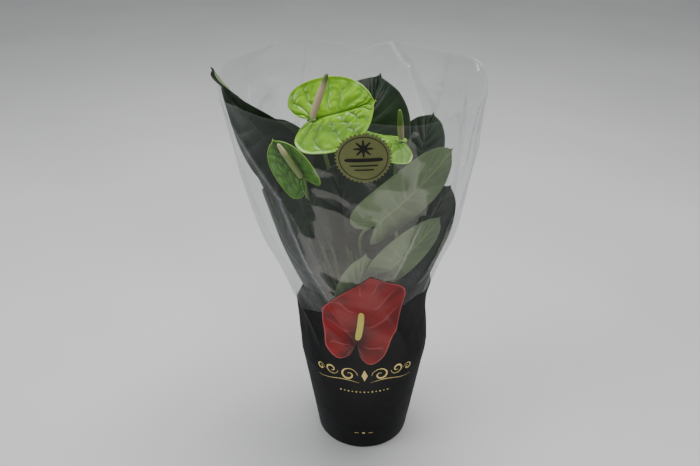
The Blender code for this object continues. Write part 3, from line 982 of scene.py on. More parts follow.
@dataclass
class Stalks:
    """Centre lines of the stalks, fanned out round three crowns, and the rods along them."""

    blades: tuple[Blade, ...]
    turns: dict[str, float] = field(default_factory=dict)

    def crown_centre(self, index: int) -> Array:
        """Where a crown stands on the soil."""
        angle = radians(-90 + 360 / CROWN_COUNT * index)
        return np.array([CROWN_RING_RADIUS * cos(angle), CROWN_RING_RADIUS * sin(angle), 0.0])

    def fan_out(self) -> None:
        """Choose the side of its crown that each stalk grows on, in the order of the blades."""
        for crown in range(CROWN_COUNT):
            own = [blade for blade in self.blades if blade.crown == crown]
            targets = [blade.base.place() - self.crown_centre(crown) for blade in own]
            middle = sum(unit(target * np.array([1.0, 1.0, 0.0])) for target in targets)
            heading = np.arctan2(middle[1], middle[0])
            offsets = [(np.arctan2(t[1], t[0]) - heading + pi) % (2 * pi) for t in targets]
            step = min(2 * pi / len(own), STALK_FAN)
            for rank, index in enumerate(np.argsort(offsets)):
                self.turns[own[index].name] = float(heading) + (rank - 0.5 * (len(own) - 1)) * step

    def route(self, blade: Blade, radius: float) -> Array:
        """A stalk's centre line: one cubic from beside its crown to the notch of its blade.

        Args:
            blade: The blade that it carries.
            radius: Its radius.

        Returns:
            Its points.
        """
        face = blade.axes()[3]
        joint = blade.surface(np.array([0.0]), np.array([0.0]))[0]
        arrive = direction(*blade.arrive)
        square = float(np.dot(arrive, face))
        if abs(square) > 0.5:
            setback = (HALF_SPATHE + GAP + radius * (1.2 - square**2) ** 0.5) / abs(square)
        else:
            setback = HALF_BLADE + GAP + 2.6 * radius
        end = joint - arrive * setback
        turn = self.turns[blade.name]
        ring = CROWN_RADIUS + radius + 2 * GAP
        around = np.array([ring * cos(turn), ring * sin(turn), 0.0])
        start = self.crown_centre(blade.crown) + around
        start[2] = soil_height(CROWN_RING_RADIUS - CROWN_RADIUS - 2 * radius) + 0.3 * radius + GAP
        reach = float(np.linalg.norm(end - start))
        first = start + (np.array([0.0, 0.0, 1.0]) + 0.25 * unit(around)) * 0.40 * reach
        second = end - arrive * 0.30 * reach + unit(joint * np.array([1.0, 1.0, 0.0])) * blade.bow
        t = np.linspace(0.0, 1.0, 49)[:, None]
        points = (1 - t) ** 3 * start + 3 * t * (1 - t) ** 2 * first
        points = points + 3 * t**2 * (1 - t) * second + t**3 * end
        points = press_inside(points, FILM_CLEARANCE + radius)
        return np.vstack([points, joint - arrive * 0.35 * setback])

    def build(self, blade: Blade, radius: float, name: str, finish: Material) -> Piece:
        """A stalk: round, with a flared foot and the thicker joint below its blade.

        Args:
            blade: The blade that it carries.
            radius: Its radius.
            name: The piece's name.
            finish: Its material.

        Returns:
            The stalk.
        """
        path = self.route(blade, radius)
        t = np.linspace(0.0, 1.0, len(path))
        reach = float(np.linalg.norm(np.diff(path, axis=0), axis=1).sum())
        joint = np.exp(-(((1.0 - t) * reach - 0.009) / 0.006) ** 2)
        radii = radius * (0.94 + 0.20 * np.exp(-t * reach / 0.010) + 0.16 * joint)
        return tube_object(name, path, radii, 14, finish)


def pot_inner_radius(z: float) -> float:
    """The pot's inner radius at a height."""
    wall_top = POT_RIM_RADIUS - RIM_STEP
    share = min(max(z / (POT_HEIGHT - RIM_BAND_HEIGHT), 0.0), 1.0)
    return POT_BASE_RADIUS + (wall_top - POT_BASE_RADIUS) * share - POT_WALL


def soil_height(radius: float | Array) -> float | Array:
    """The height of the soil's surface at a distance from the pot's axis."""
    edge = pot_inner_radius(POT_HEIGHT - SOIL_BELOW_RIM)
    return POT_HEIGHT - SOIL_BELOW_RIM + SOIL_DOME * (1.0 - (radius / edge) ** 2)


@dataclass
class Ground:
    """What the plant grows in: the soil, the chips on it, and the crowns."""

    chips: int = 150
    peat: CrumbFinish = CrumbFinish("peat", (0.085, 0.050, 0.030), (0.018, 0.011, 0.007), 150.0)
    bark: CrumbFinish = CrumbFinish("bark_chip", (0.20, 0.115, 0.060), (0.06, 0.035, 0.02), 220.0)
    crown: CrumbFinish = CrumbFinish("crown_sheath", (0.22, 0.15, 0.07), (0.07, 0.055, 0.02), 120.0, 0.8)

    def build_soil(self) -> Piece:
        """The root ball: rings from the middle of the top, out, down the side and in under it.
        Its top is roughened by crossed sines that fade at the rim."""
        edge_z = POT_HEIGHT - SOIL_BELOW_RIM
        foot_z, pinhole = 0.0019, 0.0004
        edge = pot_inner_radius(edge_z) - 2 * GAP
        foot = pot_inner_radius(foot_z) - 2 * GAP
        top = np.linspace(pinhole, edge, 60)
        turn = np.linspace(0.0, 2 * pi, 180, endpoint=False)
        radius = np.concatenate([top, [edge, foot, foot, pinhole]])
        height = np.concatenate([soil_height(top), [edge_z - 0.004, 0.0024, foot_z, foot_z]])
        x, y = radius[:, None] * np.cos(turn), radius[:, None] * np.sin(turn)
        rough = sum(
            np.sin(k * 95 * x + 7 * k) * np.cos(k * 83 * y - 4 * k) / k for k in (1.0, 2.3, 4.1, 7.7)
        )
        on_top = (np.arange(len(radius)) < len(top) - 2)[:, None]
        z = height[:, None] + np.where(on_top, 0.0009 * rough - 0.0006, 0.0)
        points = np.stack([x, y, np.broadcast_to(z, x.shape)], axis=-1)
        faces = grid_faces(len(radius), len(turn), closed=True)[:, ::-1]
        return mesh_object("root_ball", points, faces, [self.peat.make()])

    def build_chips(self) -> Piece:
        """Bark chips strewn on the soil: flattened boxes with bent corners, all in one mesh."""
        chance = np.random.default_rng(7)
        radius = np.sqrt(chance.uniform(0.03, 1.0, self.chips)) * 0.064
        turn = chance.uniform(0, 2 * pi, self.chips)
        size = chance.uniform(0.0012, 0.0036, (self.chips, 3)) * np.array([1.0, 0.7, 0.35])
        corners = np.array([[x, y, z] for x in (-1, 1) for y in (-1, 1) for z in (-1, 1)], dtype=float)
        local = corners[None] * size[:, None, :] * chance.uniform(0.6, 1.1, (self.chips, 8, 1))
        spin = chance.uniform(0, 2 * pi, self.chips)[:, None]
        x = local[..., 0] * np.cos(spin) - local[..., 1] * np.sin(spin) + (radius * np.cos(turn))[:, None]
        y = local[..., 0] * np.sin(spin) + local[..., 1] * np.cos(spin) + (radius * np.sin(turn))[:, None]
        z = local[..., 2] + local[..., 0] * 0.2 + soil_height(radius)[:, None] + 0.0012
        box = np.array([[0, 1, 3, 2], [4, 6, 7, 5], [0, 4, 5, 1], [2, 3, 7, 6], [0, 2, 6, 4], [1, 5, 7, 3]])
        faces = (box[None] + 8 * np.arange(self.chips)[:, None, None]).reshape(-1, 4)
        piece = mesh_object("bark_chips", np.stack([x, y, z], axis=-1), faces, [self.bark.make()])
        piece.data.shade_flat()
        return piece

    def build_crown(self, centre: Array, index: int, finish: Material) -> Piece:
        """A crown: a short stem ringed by leaf scars, wrapped in dry sheaths whose pointed edges
        stand off it by a sine round the stem that grows to the top.

        Args:
            centre: Where it stands.
            index: Its number.
            finish: Its material.

        Returns:
            The crown.
        """
        foot = soil_height(CROWN_RING_RADIUS - CROWN_RADIUS) + GAP
        t = np.linspace(0.0, 1.0, 60)
        path = centre + np.array([0.0, 0.0, 1.0]) * (foot + CROWN_HEIGHT * t)[:, None]
        turn = np.linspace(0.0, 2 * pi, 36, endpoint=False)[None, :]
        body = np.interp(t, [0, 0.33, 0.66, 0.9, 1], [1.0, 0.95, 0.85, 0.6, 0.35])[:, None]
        rings = 0.05 * np.abs(np.sin(pi * 6 * t[:, None] + 0.8 * np.sin(turn + index)))
        sheath = 0.10 * np.abs(np.sin(1.5 * turn + 3.0 * t[:, None] + index))
        radii = CROWN_RADIUS * (body * (0.9 + rings) + sheath * body)
        return tube_object(f"crown_stem_{index + 1}", path, radii, 36, finish)

    def build(self, stalks: Stalks) -> dict[str, Piece]:
        """Build the soil and the crowns.

        Args:
            stalks: Says where the crowns stand.

        Returns:
            The pieces by the node that each replaces.
        """
        made = {"soil": self.build_soil()}
        finish = self.crown.make()
        for index in range(CROWN_COUNT):
            made[f"crown_{index + 1}"] = self.build_crown(stalks.crown_centre(index), index, finish)
        return made


# The sleeve


@dataclass(frozen=True)
class Crease:
    """A fold in the film between two places, each an azimuth and a height."""

    start: Pair
    end: Pair
    height: float
    width: float = 0.005

    def strength(self, azimuth: Array, z: Array, width: float) -> Array:
        """How strongly places on the film belong to this fold, by an exponential of their
        distance from its line that fades beyond its ends.

        Args:
            azimuth: Degrees.
            z: Heights.
            width: The distance at which it falls to a third, in metres.

        Returns:
            Values from 0 to 1.
        """
        start = np.array([radians(self.start[0]) * CREASE_RADIUS, self.start[1]])
        run = np.array([radians(self.end[0]) * CREASE_RADIUS, self.end[1]]) - start
        span = float(np.linalg.norm(run))
        at = (np.radians(azimuth) * CREASE_RADIUS - start[0], z - start[1])
        t = (at[0] * run[0] + at[1] * run[1]) / span**2
        off = np.abs(at[0] * run[1] - at[1] * run[0]) / span
        return np.exp(-off / width) * smooth_step(-0.12, 0.10, t) * smooth_step(1.12, 0.90, t)


@dataclass
class Sleeve:
    """The two film panels and the ink on the front one."""

    creases: tuple[Crease, ...]
    columns: int = 300
    rows: int = 300
    # Each scroll's place across, size and height
    scrolls: tuple = ((0.007, 0.0158, 0.137), (0.0300, 0.0122, 0.1400), (0.0470, 0.0086, 0.137))
    # Each hem bar's place across, length and thickness
    hem_bars: tuple = ((-0.0085, 0.0060, 0.0012), (0.0, 0.0038, 0.0036), (0.0085, 0.0060, 0.0012))
    # How far each bar lies below the seal's middle, half its length, and its thickness
    seal_bars: tuple = ((0.0015, 0.0165, 0.0034), (0.0070, 0.0125, 0.0012), (0.0110, 0.0085, 0.0012))
    film: FilmFinish = FilmFinish("clear_film", 1.50, 0.010, 0.30)
    black: InkFinish = InkFinish(
        "black_ink", (0.0045, 0.0045, 0.0050), (0.0085, 0.0085, 0.0090), 0.46, 0.0, 0.16
    )
    gold: InkFinish = InkFinish("gold_ink", (0.66, 0.52, 0.20), (0.46, 0.35, 0.12), 0.34, 0.25)
    olive: InkFinish = InkFinish("seal_ink", (0.155, 0.170, 0.055), (0.125, 0.140, 0.042), 0.42)
    dark: InkFinish = InkFinish("seal_line_ink", (0.010, 0.010, 0.008), (0.016, 0.016, 0.012), 0.42)
    petal: PetalInkFinish = PetalInkFinish(
        "petal_ink", (0.26, 0.0010, 0.002), (0.030, 0.0004, 0.0008), (0.52, 0.09, 0.10)
    )
    yellow: InkFinish = InkFinish("yellow_ink", (0.62, 0.56, 0.10), (0.50, 0.42, 0.05), 0.35)

    def offset(self, azimuth: Array, z: Array) -> Array:
        """How far the film stands off its smooth shape: crumples of five sizes, deeper folds at
        the waist above the pot where it is gathered, and the single creases, each a ridge that
        falls off by an exponential from its line and fades at its ends.

        Args:
            azimuth: Degrees.
            z: Heights.

        Returns:
            Heights above the smooth film, never below it.
        """
        u, v = np.radians(azimuth) * CRUMPLE_RADIUS, z
        share = sleeve_share(z)
        free = smooth_step(-0.10, 0.12, share)
        crumple = folds(u, v, ((0.110, 0.0016), (0.052, 0.0006), (0.024, 0.0002)), 11)
        small = folds(u, v, ((0.055, 0.0004), (0.026, 0.0002)), 12)
        waist = np.exp(-(((z - 0.190) / 0.050) ** 2))
        pleat = np.abs(np.sin(np.radians(azimuth) * 4.5 + 9.0 * z + 0.8 * np.sin(31.0 * z)))
        gather = (1.0 - pleat) * 0.0050 * waist
        total = crumple * free * (0.55 + 0.45 * share) + small * (0.4 + 0.6 * free) + gather * free
        for crease in self.creases:
            total = total + crease.height * crease.strength(azimuth, z, crease.width)
        return total

    def points(self, azimuth: Array, z: Array, above: float = 0.0) -> Array:
        """Places on the film.

        Args:
            azimuth: Degrees.
            z: Heights.
            above: How far outside the film, in metres.

        Returns:
            The points.
        """
        radius = sleeve_radius(z) + HALF_FILM + self.offset(azimuth, z) + above
        angle = np.radians(azimuth)
        return np.stack([sleeve_centre(z) + radius * np.cos(angle), radius * np.sin(angle), z], axis=-1)

    def build_panel(self, side: Side, finish: Material) -> Piece:
        """A panel: a grid of azimuths by heights, whose cut edge at the mouth is a little uneven.

        Args:
            side: Which panel.
            finish: Its material.

        Returns:
            The panel, with the milky strips at its seals and its cut rim, and milky lines along its creases,
            stored as edge; those at the rim and the creases are partly painted highlight.
        """
        across = np.linspace(-1.0, 1.0, self.columns + 1)
        up = np.linspace(0.0, 1.0, self.rows + 1)[:, None]
        azimuth = side.value + across * PANEL_REACH
        mouth = MOUTH_HEIGHT + 0.0035 * np.sin(np.radians(azimuth) * 3.0 + 0.6)
        mouth = mouth + 0.002 * np.sin(np.radians(azimuth) * 7.0)
        mouth = mouth - 0.009 * np.exp(-(((azimuth - 86.0) / 6.0) ** 2))
        z = FLOOR_GAP + (mouth - FLOOR_GAP) * up
        azimuth = np.broadcast_to(azimuth, z.shape)
        points = self.points(azimuth, z)
        piece = mesh_object(f"film_{side.name.lower()}", points, grid_faces(*z.shape), [finish])
        # painted highlight: the cut rim is milky at full strength on the back panel and faint on the front,
        # and each crease adds a milky line; these are partly real whitening of the film and partly painted
        # glints
        rim = np.exp(-(mouth - z) / 0.0010)
        seal = np.exp(-(1.0 - np.abs(np.broadcast_to(across, z.shape))) * 1.57 * 0.1 / 0.0012)
        edge = np.maximum(rim * (0.15 if side is Side.FRONT else 1.0), seal)
        for crease in self.creases:
            edge = edge + 0.8 * crease.strength(azimuth, z, 0.0009)
        set_values(piece, "edge", np.clip(edge, 0.0, 1.0))
        return piece

    def ink_top(self, azimuth: Array) -> Array:
        """The height of the black print's upper edge: level at the back, and dipped to the left
        of the printed flower."""
        places = [-180, -163, -123, -112, -66, -61, -50, -46, -30, 0, 30, 90, 150, 180]
        heights = [
            0.194, 0.200, 0.219, 0.222, 0.224, 0.228, 0.236, 0.238, 0.235, 0.222, 0.215, 0.210, 0.199, 0.194,
        ]
        return np.interp(azimuth, places, heights)

    def build_black(self, side: Side, finish: Material) -> Piece:
        """The black foot of the sleeve, from the hem up to its edge, just outside the film."""
        azimuth = side.value + np.linspace(-PANEL_REACH, PANEL_REACH, 241)
        up = np.linspace(0.0, 1.0, 161)[:, None]
        z = FLOOR_GAP + (self.ink_top(azimuth) - FLOOR_GAP) * up
        azimuth = np.broadcast_to(azimuth, z.shape)
        points = self.points(azimuth, z, BLACK_LIFT)
        return mesh_object(f"black_print_{side.name.lower()}", points, grid_faces(*z.shape), [finish])

    def flat_points(self, across: Array, z: Array, above: float) -> Array:
        """Places on the front by metres from its middle, measured round the film."""
        azimuth = -90.0 + np.degrees(across / sleeve_radius(z))
        return self.points(azimuth, z, above)

    def build_petal(self, finish: Material) -> Piece:
        """The printed flower: a heart, tip up, with veins in pale lines and shade between them."""
        outline: Outline = (
            (0.0, 0.0), (0.03, -0.07), (0.14, -0.22), (0.42, -0.30), (0.72, -0.20), (0.84, 0.02),
            (0.98, 0.30), (1.0, 0.52), (0.86, 0.66), (0.60, 0.78), (0.33, 0.88), (0.10, 0.97), (0.0, 1.0),
        )
        across, along, step, way = ribbed_grid(outline, 150, 50, 1.2)
        aside = -0.006 + 0.0165 * along + 0.046 * across
        height = 0.187 + 0.106 * along + 0.014 * across * np.clip(3.0 * along, -0.3, 1.0)
        points = self.flat_points(aside, height, INK_LIFT)
        piece = mesh_object("petal_print", points, grid_faces(*across.shape), [finish])
        phase = step * 6.0 + 0.15 * np.sin(6.0 * way)
        line = np.exp(-((np.abs(phase - np.round(phase)) / 0.035) ** 2))
        line = line * smooth_step(0.15, 0.35, way) * smooth_step(0.95, 0.75, way)
        rim = smooth_step(0.955, 0.985, way) * 0.8
        band = 0.5 + 0.5 * np.cos(2 * pi * phase + 1.2 * np.sign(across))
        well = np.exp(-((across**2 + along**2) / 0.10))
        set_values(piece, "light", np.clip(0.55 * line * (0.4 + 0.6 * np.sin(pi * way)) + rim, 0.0, 1.0))
        set_values(piece, "shade", np.clip(0.75 * band * smooth_step(0.2, 0.8, way) * 0.6 + well, 0.0, 1.0))
        return piece

    def build_stroke(self, name: str, line: Array, width: Array, above: float, finish: Material) -> Piece:
        """A printed stroke along a line on the front of the film.

        Args:
            name: The piece's name.
            line: Places across and up, in metres.
            width: Its width at each place.
            above: How far outside the film.
            finish: Its material.

        Returns:
            The stroke.
        """
        slope = unit(np.gradient(line, axis=0))
        across = np.stack([-slope[:, 1], slope[:, 0]], axis=-1)
        share = np.linspace(0.5, -0.5, 4)[None, :, None]
        flat = line[:, None, :] + across[:, None, :] * share * np.reshape(width, (-1, 1, 1))
        points = self.flat_points(flat[..., 0], flat[..., 1], above)
        return mesh_object(name, points, grid_faces(len(line), 4), [finish])

    def build_spadix_print(self, finish: Material) -> Piece:
        """The printed flower's yellow finger: a stroke with round ends."""
        t = np.linspace(0.0, 1.0, 60)
        line = np.stack([-0.0055 + 0.005 * t + 0.001 * np.sin(3 * t), 0.189 + 0.044 * t], axis=-1)
        width = 0.0072 * round_ends(2 * t - 1, 8) * (1.0 - 0.12 * t) + HAIRLINE
        return self.build_stroke("yellow_print", line, width, FINGER_LIFT, finish)

    def build_scrolls(self, finish: Material) -> list[Piece]:
        """The gold ornament on the black foot: mirrored scrolls with a tail either side of a
        lozenge, a row of beads under it, and three small bars near the hem."""
        made = []
        t = np.linspace(0.0, 1.0, 160)
        for side in (-1.0, 1.0):
            for index, (start, size, lift) in enumerate(self.scrolls):
                turn = 2 * pi * 1.35 * t
                spiral = size * (1.0 - 0.80 * t) * 0.62
                x = start + size * 0.72 - spiral * np.cos(turn) * 1.05
                y = lift + spiral * np.sin(turn) * (1.0 if index % 2 == 0 else -1.0)
                width = 0.0005 + 0.0018 * np.sin(pi * t) ** 2
                line = np.stack([side * x, y], axis=-1)
                made.append(self.build_stroke(f"gold_scroll_{len(made) + 1}", line, width, INK_LIFT, finish))
            tail = np.stack([side * (0.006 + 0.053 * t), 0.1255 + 0.0035 * np.sin(pi * 1.6 * t)], axis=-1)
            width = 0.0003 + 0.0010 * np.sin(pi * t)
            made.append(self.build_stroke(f"gold_scroll_{len(made) + 1}", tail, width, INK_LIFT, finish))
        lozenge = np.stack([0.0 * t, 0.1285 + 0.017 * t], axis=-1)
        width = 0.0068 * (1.0 - np.abs(2 * t - 1)) + HAIRLINE
        made.append(self.build_stroke("gold_lozenge", lozenge, width, INK_LIFT, finish))
        bead_t = np.linspace(0.0, 1.0, 17)
        round_bead = round_ends(2 * bead_t - 1, 2)
        bead_count, bead_step, bead_height, hem_bar_height = 13, 0.0046, 0.1090, 0.0300
        for index in range(bead_count):
            x = (index - bead_count // 2) * bead_step
            tall = 0.0018 if index % 2 else 0.0030
            line = np.stack([x + 0.0 * bead_t, bead_height - tall / 2 + tall * bead_t], axis=-1)
            width = 0.0019 * round_bead + HAIRLINE
            made.append(self.build_stroke(f"gold_bead_{index + 1}", line, width, INK_LIFT, finish))
        for index, (x, span, thick) in enumerate(self.hem_bars):
            line = np.stack([x + span * (bead_t - 0.5), hem_bar_height + 0.0 * bead_t], axis=-1)
            width = thick * round_bead + HAIRLINE
            made.append(self.build_stroke(f"gold_bar_{index + 1}", line, width, INK_LIFT, finish))
        return made

    def build_seal(self, disc: Material, lines: Material) -> list[Piece]:
        """The round seal: a disc with a toothed edge, and on it a ring, an eight-pointed star and
        three plain bars in a darker ink."""
        middle = np.array([0.0085, 0.4335])
        turn = np.linspace(0.0, 2 * pi, 480, endpoint=False)
        share = np.linspace(0.002, 1.0, 30)[:, None]
        edge = 0.0240 + 0.0011 * (2.0 / pi) * np.arcsin(np.sin(40 * turn))
        x = middle[0] - share * edge * np.cos(turn)
        z = middle[1] + share * edge * np.sin(turn)
        faces = grid_faces(*x.shape, closed=True)
        made = [mesh_object("seal_disc", self.flat_points(x, z, SEAL_LIFT), faces, [disc])]
        loop = np.linspace(0.0, 2 * pi, 241)
        ring = middle + 0.0208 * np.stack([np.cos(loop), np.sin(loop)], axis=-1)
        made.append(self.build_stroke("seal_ring", ring, np.full(len(loop), 0.0007), LINE_LIFT, lines))
        reach = (0.0034 + 0.0052 * (0.5 + 0.5 * np.cos(8 * turn)) ** 2) * share
        star_x = middle[0] - reach * np.cos(turn)
        star_z = middle[1] + 0.0095 + reach * np.sin(turn)
        made.append(mesh_object("seal_star", self.flat_points(star_x, star_z, LINE_LIFT), faces, [lines]))
        t = np.linspace(-1.0, 1.0, 80)
        for index, (drop, half, thick) in enumerate(self.seal_bars):
            line = np.stack([middle[0] + half * t, middle[1] - drop + 0.0 * t], axis=-1)
            width = thick * round_ends(t, 12) + HAIRLINE
            made.append(self.build_stroke(f"seal_bar_{index + 1}", line, width, LINE_LIFT, lines))
        return made

    def build(self) -> tuple[dict[str, Piece], list[Piece]]:
        """Build the panels and the prints.

        Returns:
            The panels by the node that each replaces, and the prints.
        """
        film, black = self.film.make(), self.black.make()
        panels = {f"sleeve_{side.name.lower()}": self.build_panel(side, film) for side in Side}
        prints = [self.build_black(Side.FRONT, black), self.build_petal(self.petal.make())]
        prints.append(self.build_spadix_print(self.yellow.make()))
        prints += self.build_scrolls(self.gold.make())
        prints += self.build_seal(self.olive.make(), self.dark.make())
        back = self.build_black(Side.BACK, black)
        for piece in [*prints, back]:
            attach(piece, "root")
            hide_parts("sleeve_back" if piece is back else "sleeve_front")
        return panels, [*prints, back]


CREASES = (
    Crease((-140, 0.423), (-125, 0.382), 0.0040, 0.0040),
    Crease((-125, 0.384), (-112, 0.246), 0.0045, 0.0045),
    Crease((-156, 0.466), (-141, 0.425), 0.0035),
    Crease((-33, 0.470), (-36, 0.400), 0.0045, 0.0035),
    Crease((-27, 0.455), (-29, 0.395), 0.0030, 0.0030),
    Crease((-20, 0.420), (-48, 0.270), 0.0035),
    Crease((-60, 0.355), (-72, 0.285), 0.0030, 0.0035),
    Crease((72, 0.468), (62, 0.437), 0.0050, 0.0035),
    Crease((62, 0.439), (50, 0.385), 0.0045, 0.0045),
    Crease((97, 0.470), (86, 0.456), 0.0045, 0.0030),
    Crease((86, 0.456), (73, 0.468), 0.0045, 0.0030),
    Crease((110, 0.465), (128, 0.330), 0.0030, 0.0050),
    Crease((150, 0.440), (165, 0.260), 0.0035, 0.0050),
    Crease((20, 0.430), (14, 0.270), 0.0035, 0.0050),
)

LEAVES: tuple[Blade, ...] = (
    Blade(
        "leaf_back_right", base=Spot(95, 0.2, 0.61), tip=Spot(65, 0.55, 0.94), face=(-90, 25),
        aspect=0.86, fold=8, cup=0.1, arch=0.04, arrive=(80, 75), crown=1,
    ),
    Blade(
        "leaf_right", base=Spot(30, 0.66, 0.575), tip=Spot(37, 0.90, 0.80), face=(-120, 30),
        aspect=0.8, fold=12, cup=0.1, arch=0.06, arrive=(35, 75), crown=1,
    ),
    Blade(
        "leaf_back", base=Spot(108, 0.46, 0.62), tip=Spot(98, 0.76, 0.9), face=(-90, 22),
        aspect=0.8, fold=8, cup=0.05, arch=0.04, arrive=(90, 70), crown=1,
    ),
    Blade(
        "leaf_left", base=Spot(-155, 0.68, 0.77), tip=Spot(-157, 1.02, 1.078), face=(-70, 20),
        aspect=0.60, fold=28, cup=0.05, arch=-0.04, twist=80, arrive=(-160, 64), crown=2,
    ),
    Blade(
        "leaf_front_right", base=Spot(-79, 0.9, 0.665), tip=Spot(-39, 0.95, 0.862), face=(120, 20),
        aspect=0.82, fold=4, arch=-0.03, arrive=(-45, 30), crown=1, bow=0.015,
    ),
    Blade(
        "leaf_low_right", base=Spot(-71, 0.88, 0.464), tip=Spot(-40, 0.95, 0.623), face=(120, 15),
        aspect=0.85, fold=4, arch=-0.03, arrive=(-40, 25), crown=0,
    ),
    Blade(
        "leaf_low_front", base=Spot(-104, 0.84, 0.219), tip=Spot(-86, 0.92, 0.551), face=(100, 10),
        aspect=0.38, fold=12, arch=-0.02, arrive=(-85, 20), crown=0,
    ),
    Blade(
        "leaf_low_left", base=Spot(-142, 0.84, 0.27), tip=Spot(-141, 0.95, 0.74), face=(-140, -10),
        aspect=0.46, fold=-10, arrive=(-142, 25), crown=2,
    ),
    Blade(
        "leaf_edge_left", base=Spot(164, 0.74, 0.28), tip=Spot(174, 0.94, 0.70), face=(0, 10),
        aspect=0.62, fold=10, arrive=(175, 45), crown=2,
    ),
    Blade(
        "leaf_edge_right", base=Spot(-2, 0.62, 0.34), tip=Spot(-6, 0.86, 0.64), face=(-112, 14),
        aspect=0.8, fold=6, arrive=(0, 60), crown=1, bow=0.012,
    ),
    Blade(
        "leaf_young", base=Spot(-116, 0.82, 0.7), tip=Spot(-107, 0.87, 0.552), face=(-75, 20),
        aspect=0.4, fold=15, arrive=(-120, 45), crown=0, bow=0.016,
    ),
    Blade(
        "leaf_centre", base=Spot(-114, 0.34, 0.455), tip=Spot(-118, 0.3, 0.76), face=(-90, 22),
        aspect=0.74, fold=8, cup=0.05, arch=0.03, arrive=(-100, 80), crown=2,
    ),
    Blade(
        "leaf_back_left", base=Spot(148, 0.6, 0.48), tip=Spot(150, 0.88, 0.8), face=(-35, 15),
        aspect=0.75, fold=8, cup=0.05, arrive=(150, 70), crown=2,
    ),
    Blade(
        "leaf_low_back", base=Spot(84, 0.78, 0.22), tip=Spot(80, 0.92, 0.56), face=(-100, 10),
        aspect=0.62, fold=8, arrive=(85, 25), crown=1,
    ),
)

FLOWERS: tuple[Flower, ...] = (
    Flower(
        Blade(
            "flower_large", base=Spot(-125, 0.5, 0.926), tip=Spot(-69, 0.46, 0.984), face=(-85, 42),
            aspect=1.2, fold=-4, cup=0.1, arch=-0.04, arrive=(-105, 55), crown=2,
        ),
        spadix=(-0.58, 0.60, 0.55), spadix_length=0.046, spadix_radius=0.0036,
        lime=(0.25, 0.52, 0.012), shade=(0.060, 0.20, 0.005),
        foot=(0.62, 0.50, 0.32), tip=(0.075, 0.16, 0.025), change=0.80,
    ),
    Flower(
        Blade(
            "flower_left", base=Spot(-122, 0.77, 0.785), tip=Spot(-135, 0.83, 0.89), face=(-112, 24),
            aspect=1.05, fold=32, cup=0.14, arrive=(-120, 60), crown=0, bow=0.022,
        ),
        spadix=(0.17, 0.94, 0.28), spadix_length=0.042, spadix_radius=0.0032,
        lime=(0.085, 0.26, 0.008), shade=(0.020, 0.085, 0.005),
        foot=(0.24, 0.33, 0.08), tip=(0.64, 0.54, 0.30), change=0.76,
    ),
    Flower(
        Blade(
            "flower_right", base=Spot(-45, 0.5, 0.845), tip=Spot(-79, 0.45, 0.886), face=(-80, 74),
            aspect=1.3, fold=-24, cup=-0.15, arrive=(-40, 80), crown=1,
        ),
        spadix=(0.06, 0.49, 0.87), spadix_length=0.034, spadix_radius=0.0032,
        lime=(0.22, 0.48, 0.012), shade=(0.055, 0.19, 0.005),
        foot=(0.50, 0.46, 0.22), tip=(0.12, 0.26, 0.035), change=0.48,
    ),
)


# The stage


def area_light(name: str, place: tuple, size: Pair, power: float, colour: Colour) -> None:
    """A soft rectangular light.

    Args:
        name: Its name.
        place: Where it hangs; it points at the middle of the plant.
        size: Its width and height.
        power: Its power in watts.
        colour: Its colour.
    """
    light = bpy.data.lights.new(name, "AREA")
    light.shape = "RECTANGLE"
    light.size, light.size_y = size
    light.energy = power
    light.color = colour
    lamp = bpy.data.objects.new(name, light)
    lamp.location = place
    lamp.rotation_euler = (Vector(LIT_PLACE) - Vector(place)).to_track_quat("-Z", "Y").to_euler()
    bpy.context.scene.collection.objects.link(lamp)


def flat_board(name: str, low: Pair, high: Pair, z: float, finish: Material, slant: float = 0.0) -> Piece:
    """A level board.

    Args:
        name: Its name.
        low: Its left near corner.
        high: Its right far corner.
        z: Its height.
        finish: Its material.
        slant: How much nearer its right near corner is than its left one.

    Returns:
        The board.
    """
    near = low[1] - slant
    corners = np.array([[low[0], low[1], z], [high[0], near, z], [high[0], high[1], z], [low[0], high[1], z]])
    board = mesh_object(name, corners, np.array([[0, 1, 2, 3]]), [finish])
    return board


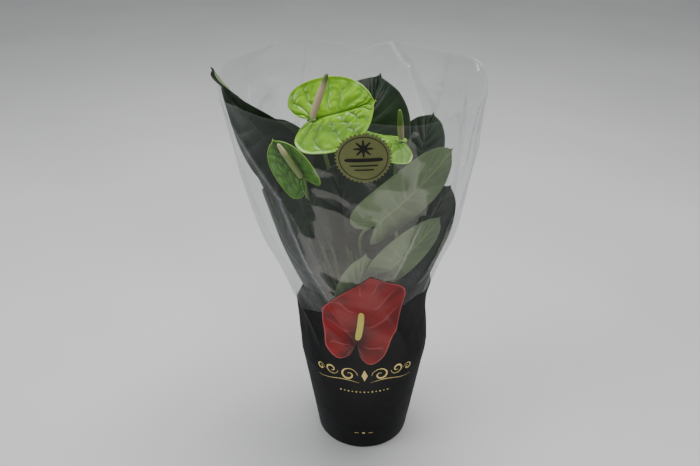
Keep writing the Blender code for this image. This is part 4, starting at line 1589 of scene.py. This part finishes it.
def set_stage() -> None:
    """A pale floor that the film doesn't mirror, a glowing board low in front, no lamp, that only the
    film mirrors as a painted reflection of a bright floor, soft lights, a grey surround and the camera."""
    pale = StageFinish("pale_floor", (0.68, 0.68, 0.67)).make()
    floor = flat_board("floor", (-4.0, -4.0), (4.0, 4.0), 0.0, pale)
    floor.visible_glossy = False
    # painted reflection: the board glows though it is no lamp and only the film's gloss sees it, laying a
    # pale haze low on the front of the film
    glow = Shader("glow_board_light")
    painted_reflection_glow = glow.finish(glow.node("Emission", {"Color": (1.0, 0.96, 0.92, 1.0), "Strength": 1.8}).outputs[0])
    board = flat_board("glow_board", (-0.30, -0.45), (0.60, -0.15), 0.001, painted_reflection_glow, 0.07)
    for rays in ("camera", "diffuse", "shadow", "transmission"):
        setattr(board, f"visible_{rays}", False)
    area_light("overhead", (0.1, 0.25, 1.7), (1.4, 1.0), 30.0, (1.0, 1.0, 1.0))
    area_light("left_window", (-1.5, -0.5, 1.1), (0.8, 1.0), 11.0, (0.94, 0.97, 1.0))
    area_light("front_fill", (0.6, -1.8, 1.5), (1.2, 0.8), 6.0, (1.0, 0.98, 0.96))
    world = bpy.data.worlds.new("surround")
    bpy.context.scene.world = world
    world.use_nodes = True
    world.node_tree.nodes["Background"].inputs["Color"].default_value = (0.90, 0.92, 0.95, 1.0)
    world.node_tree.nodes["Background"].inputs["Strength"].default_value = 0.36
    camera = bpy.data.cameras.new("camera")
    camera.lens = 36.0
    camera.sensor_width = 36.0
    camera.clip_start = 0.01
    made = bpy.data.objects.new("camera", camera)
    made.location = CAMERA_PLACE
    made.rotation_euler = (radians(90.0 - CAMERA_DIP), 0.0, 0.0)
    bpy.context.scene.collection.objects.link(made)
    bpy.context.scene.camera = made


def corners(bounds: tuple) -> list[list[float]]:
    """A box as plain numbers."""
    return [[float(value) for value in corner] for corner in bounds]


def main() -> None:
    """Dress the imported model, build its soft pieces, and set the stage."""
    logging.basicConfig(level=logging.INFO)
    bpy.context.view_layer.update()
    black = PlasticFinish("pot_plastic", (0.016, 0.016, 0.017), (0.040, 0.037, 0.033)).make()
    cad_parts["pot"].data.materials.clear()
    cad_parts["pot"].data.materials.append(black)
    stalks = Stalks((*LEAVES, *(flower.spathe for flower in FLOWERS)))
    stalks.fan_out()
    ground = Ground()
    made = ground.build(stalks)
    made |= Foliage(LEAVES).build(stalks)
    made |= Flowers(FLOWERS).build(stalks)
    panels, prints = Sleeve(CREASES).build()
    made |= panels
    for node, piece in made.items():
        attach(piece, "root")
        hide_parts(node)
        LOG.info("%s stands for %s: %d faces", piece.name, node, len(piece.data.polygons))
    chips = ground.build_chips()
    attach(chips, "root")
    LOG.info("%d prints on the sleeve", len(prints))
    set_stage()
    bpy.context.view_layer.update()


if __name__ == "__main__":
    main()
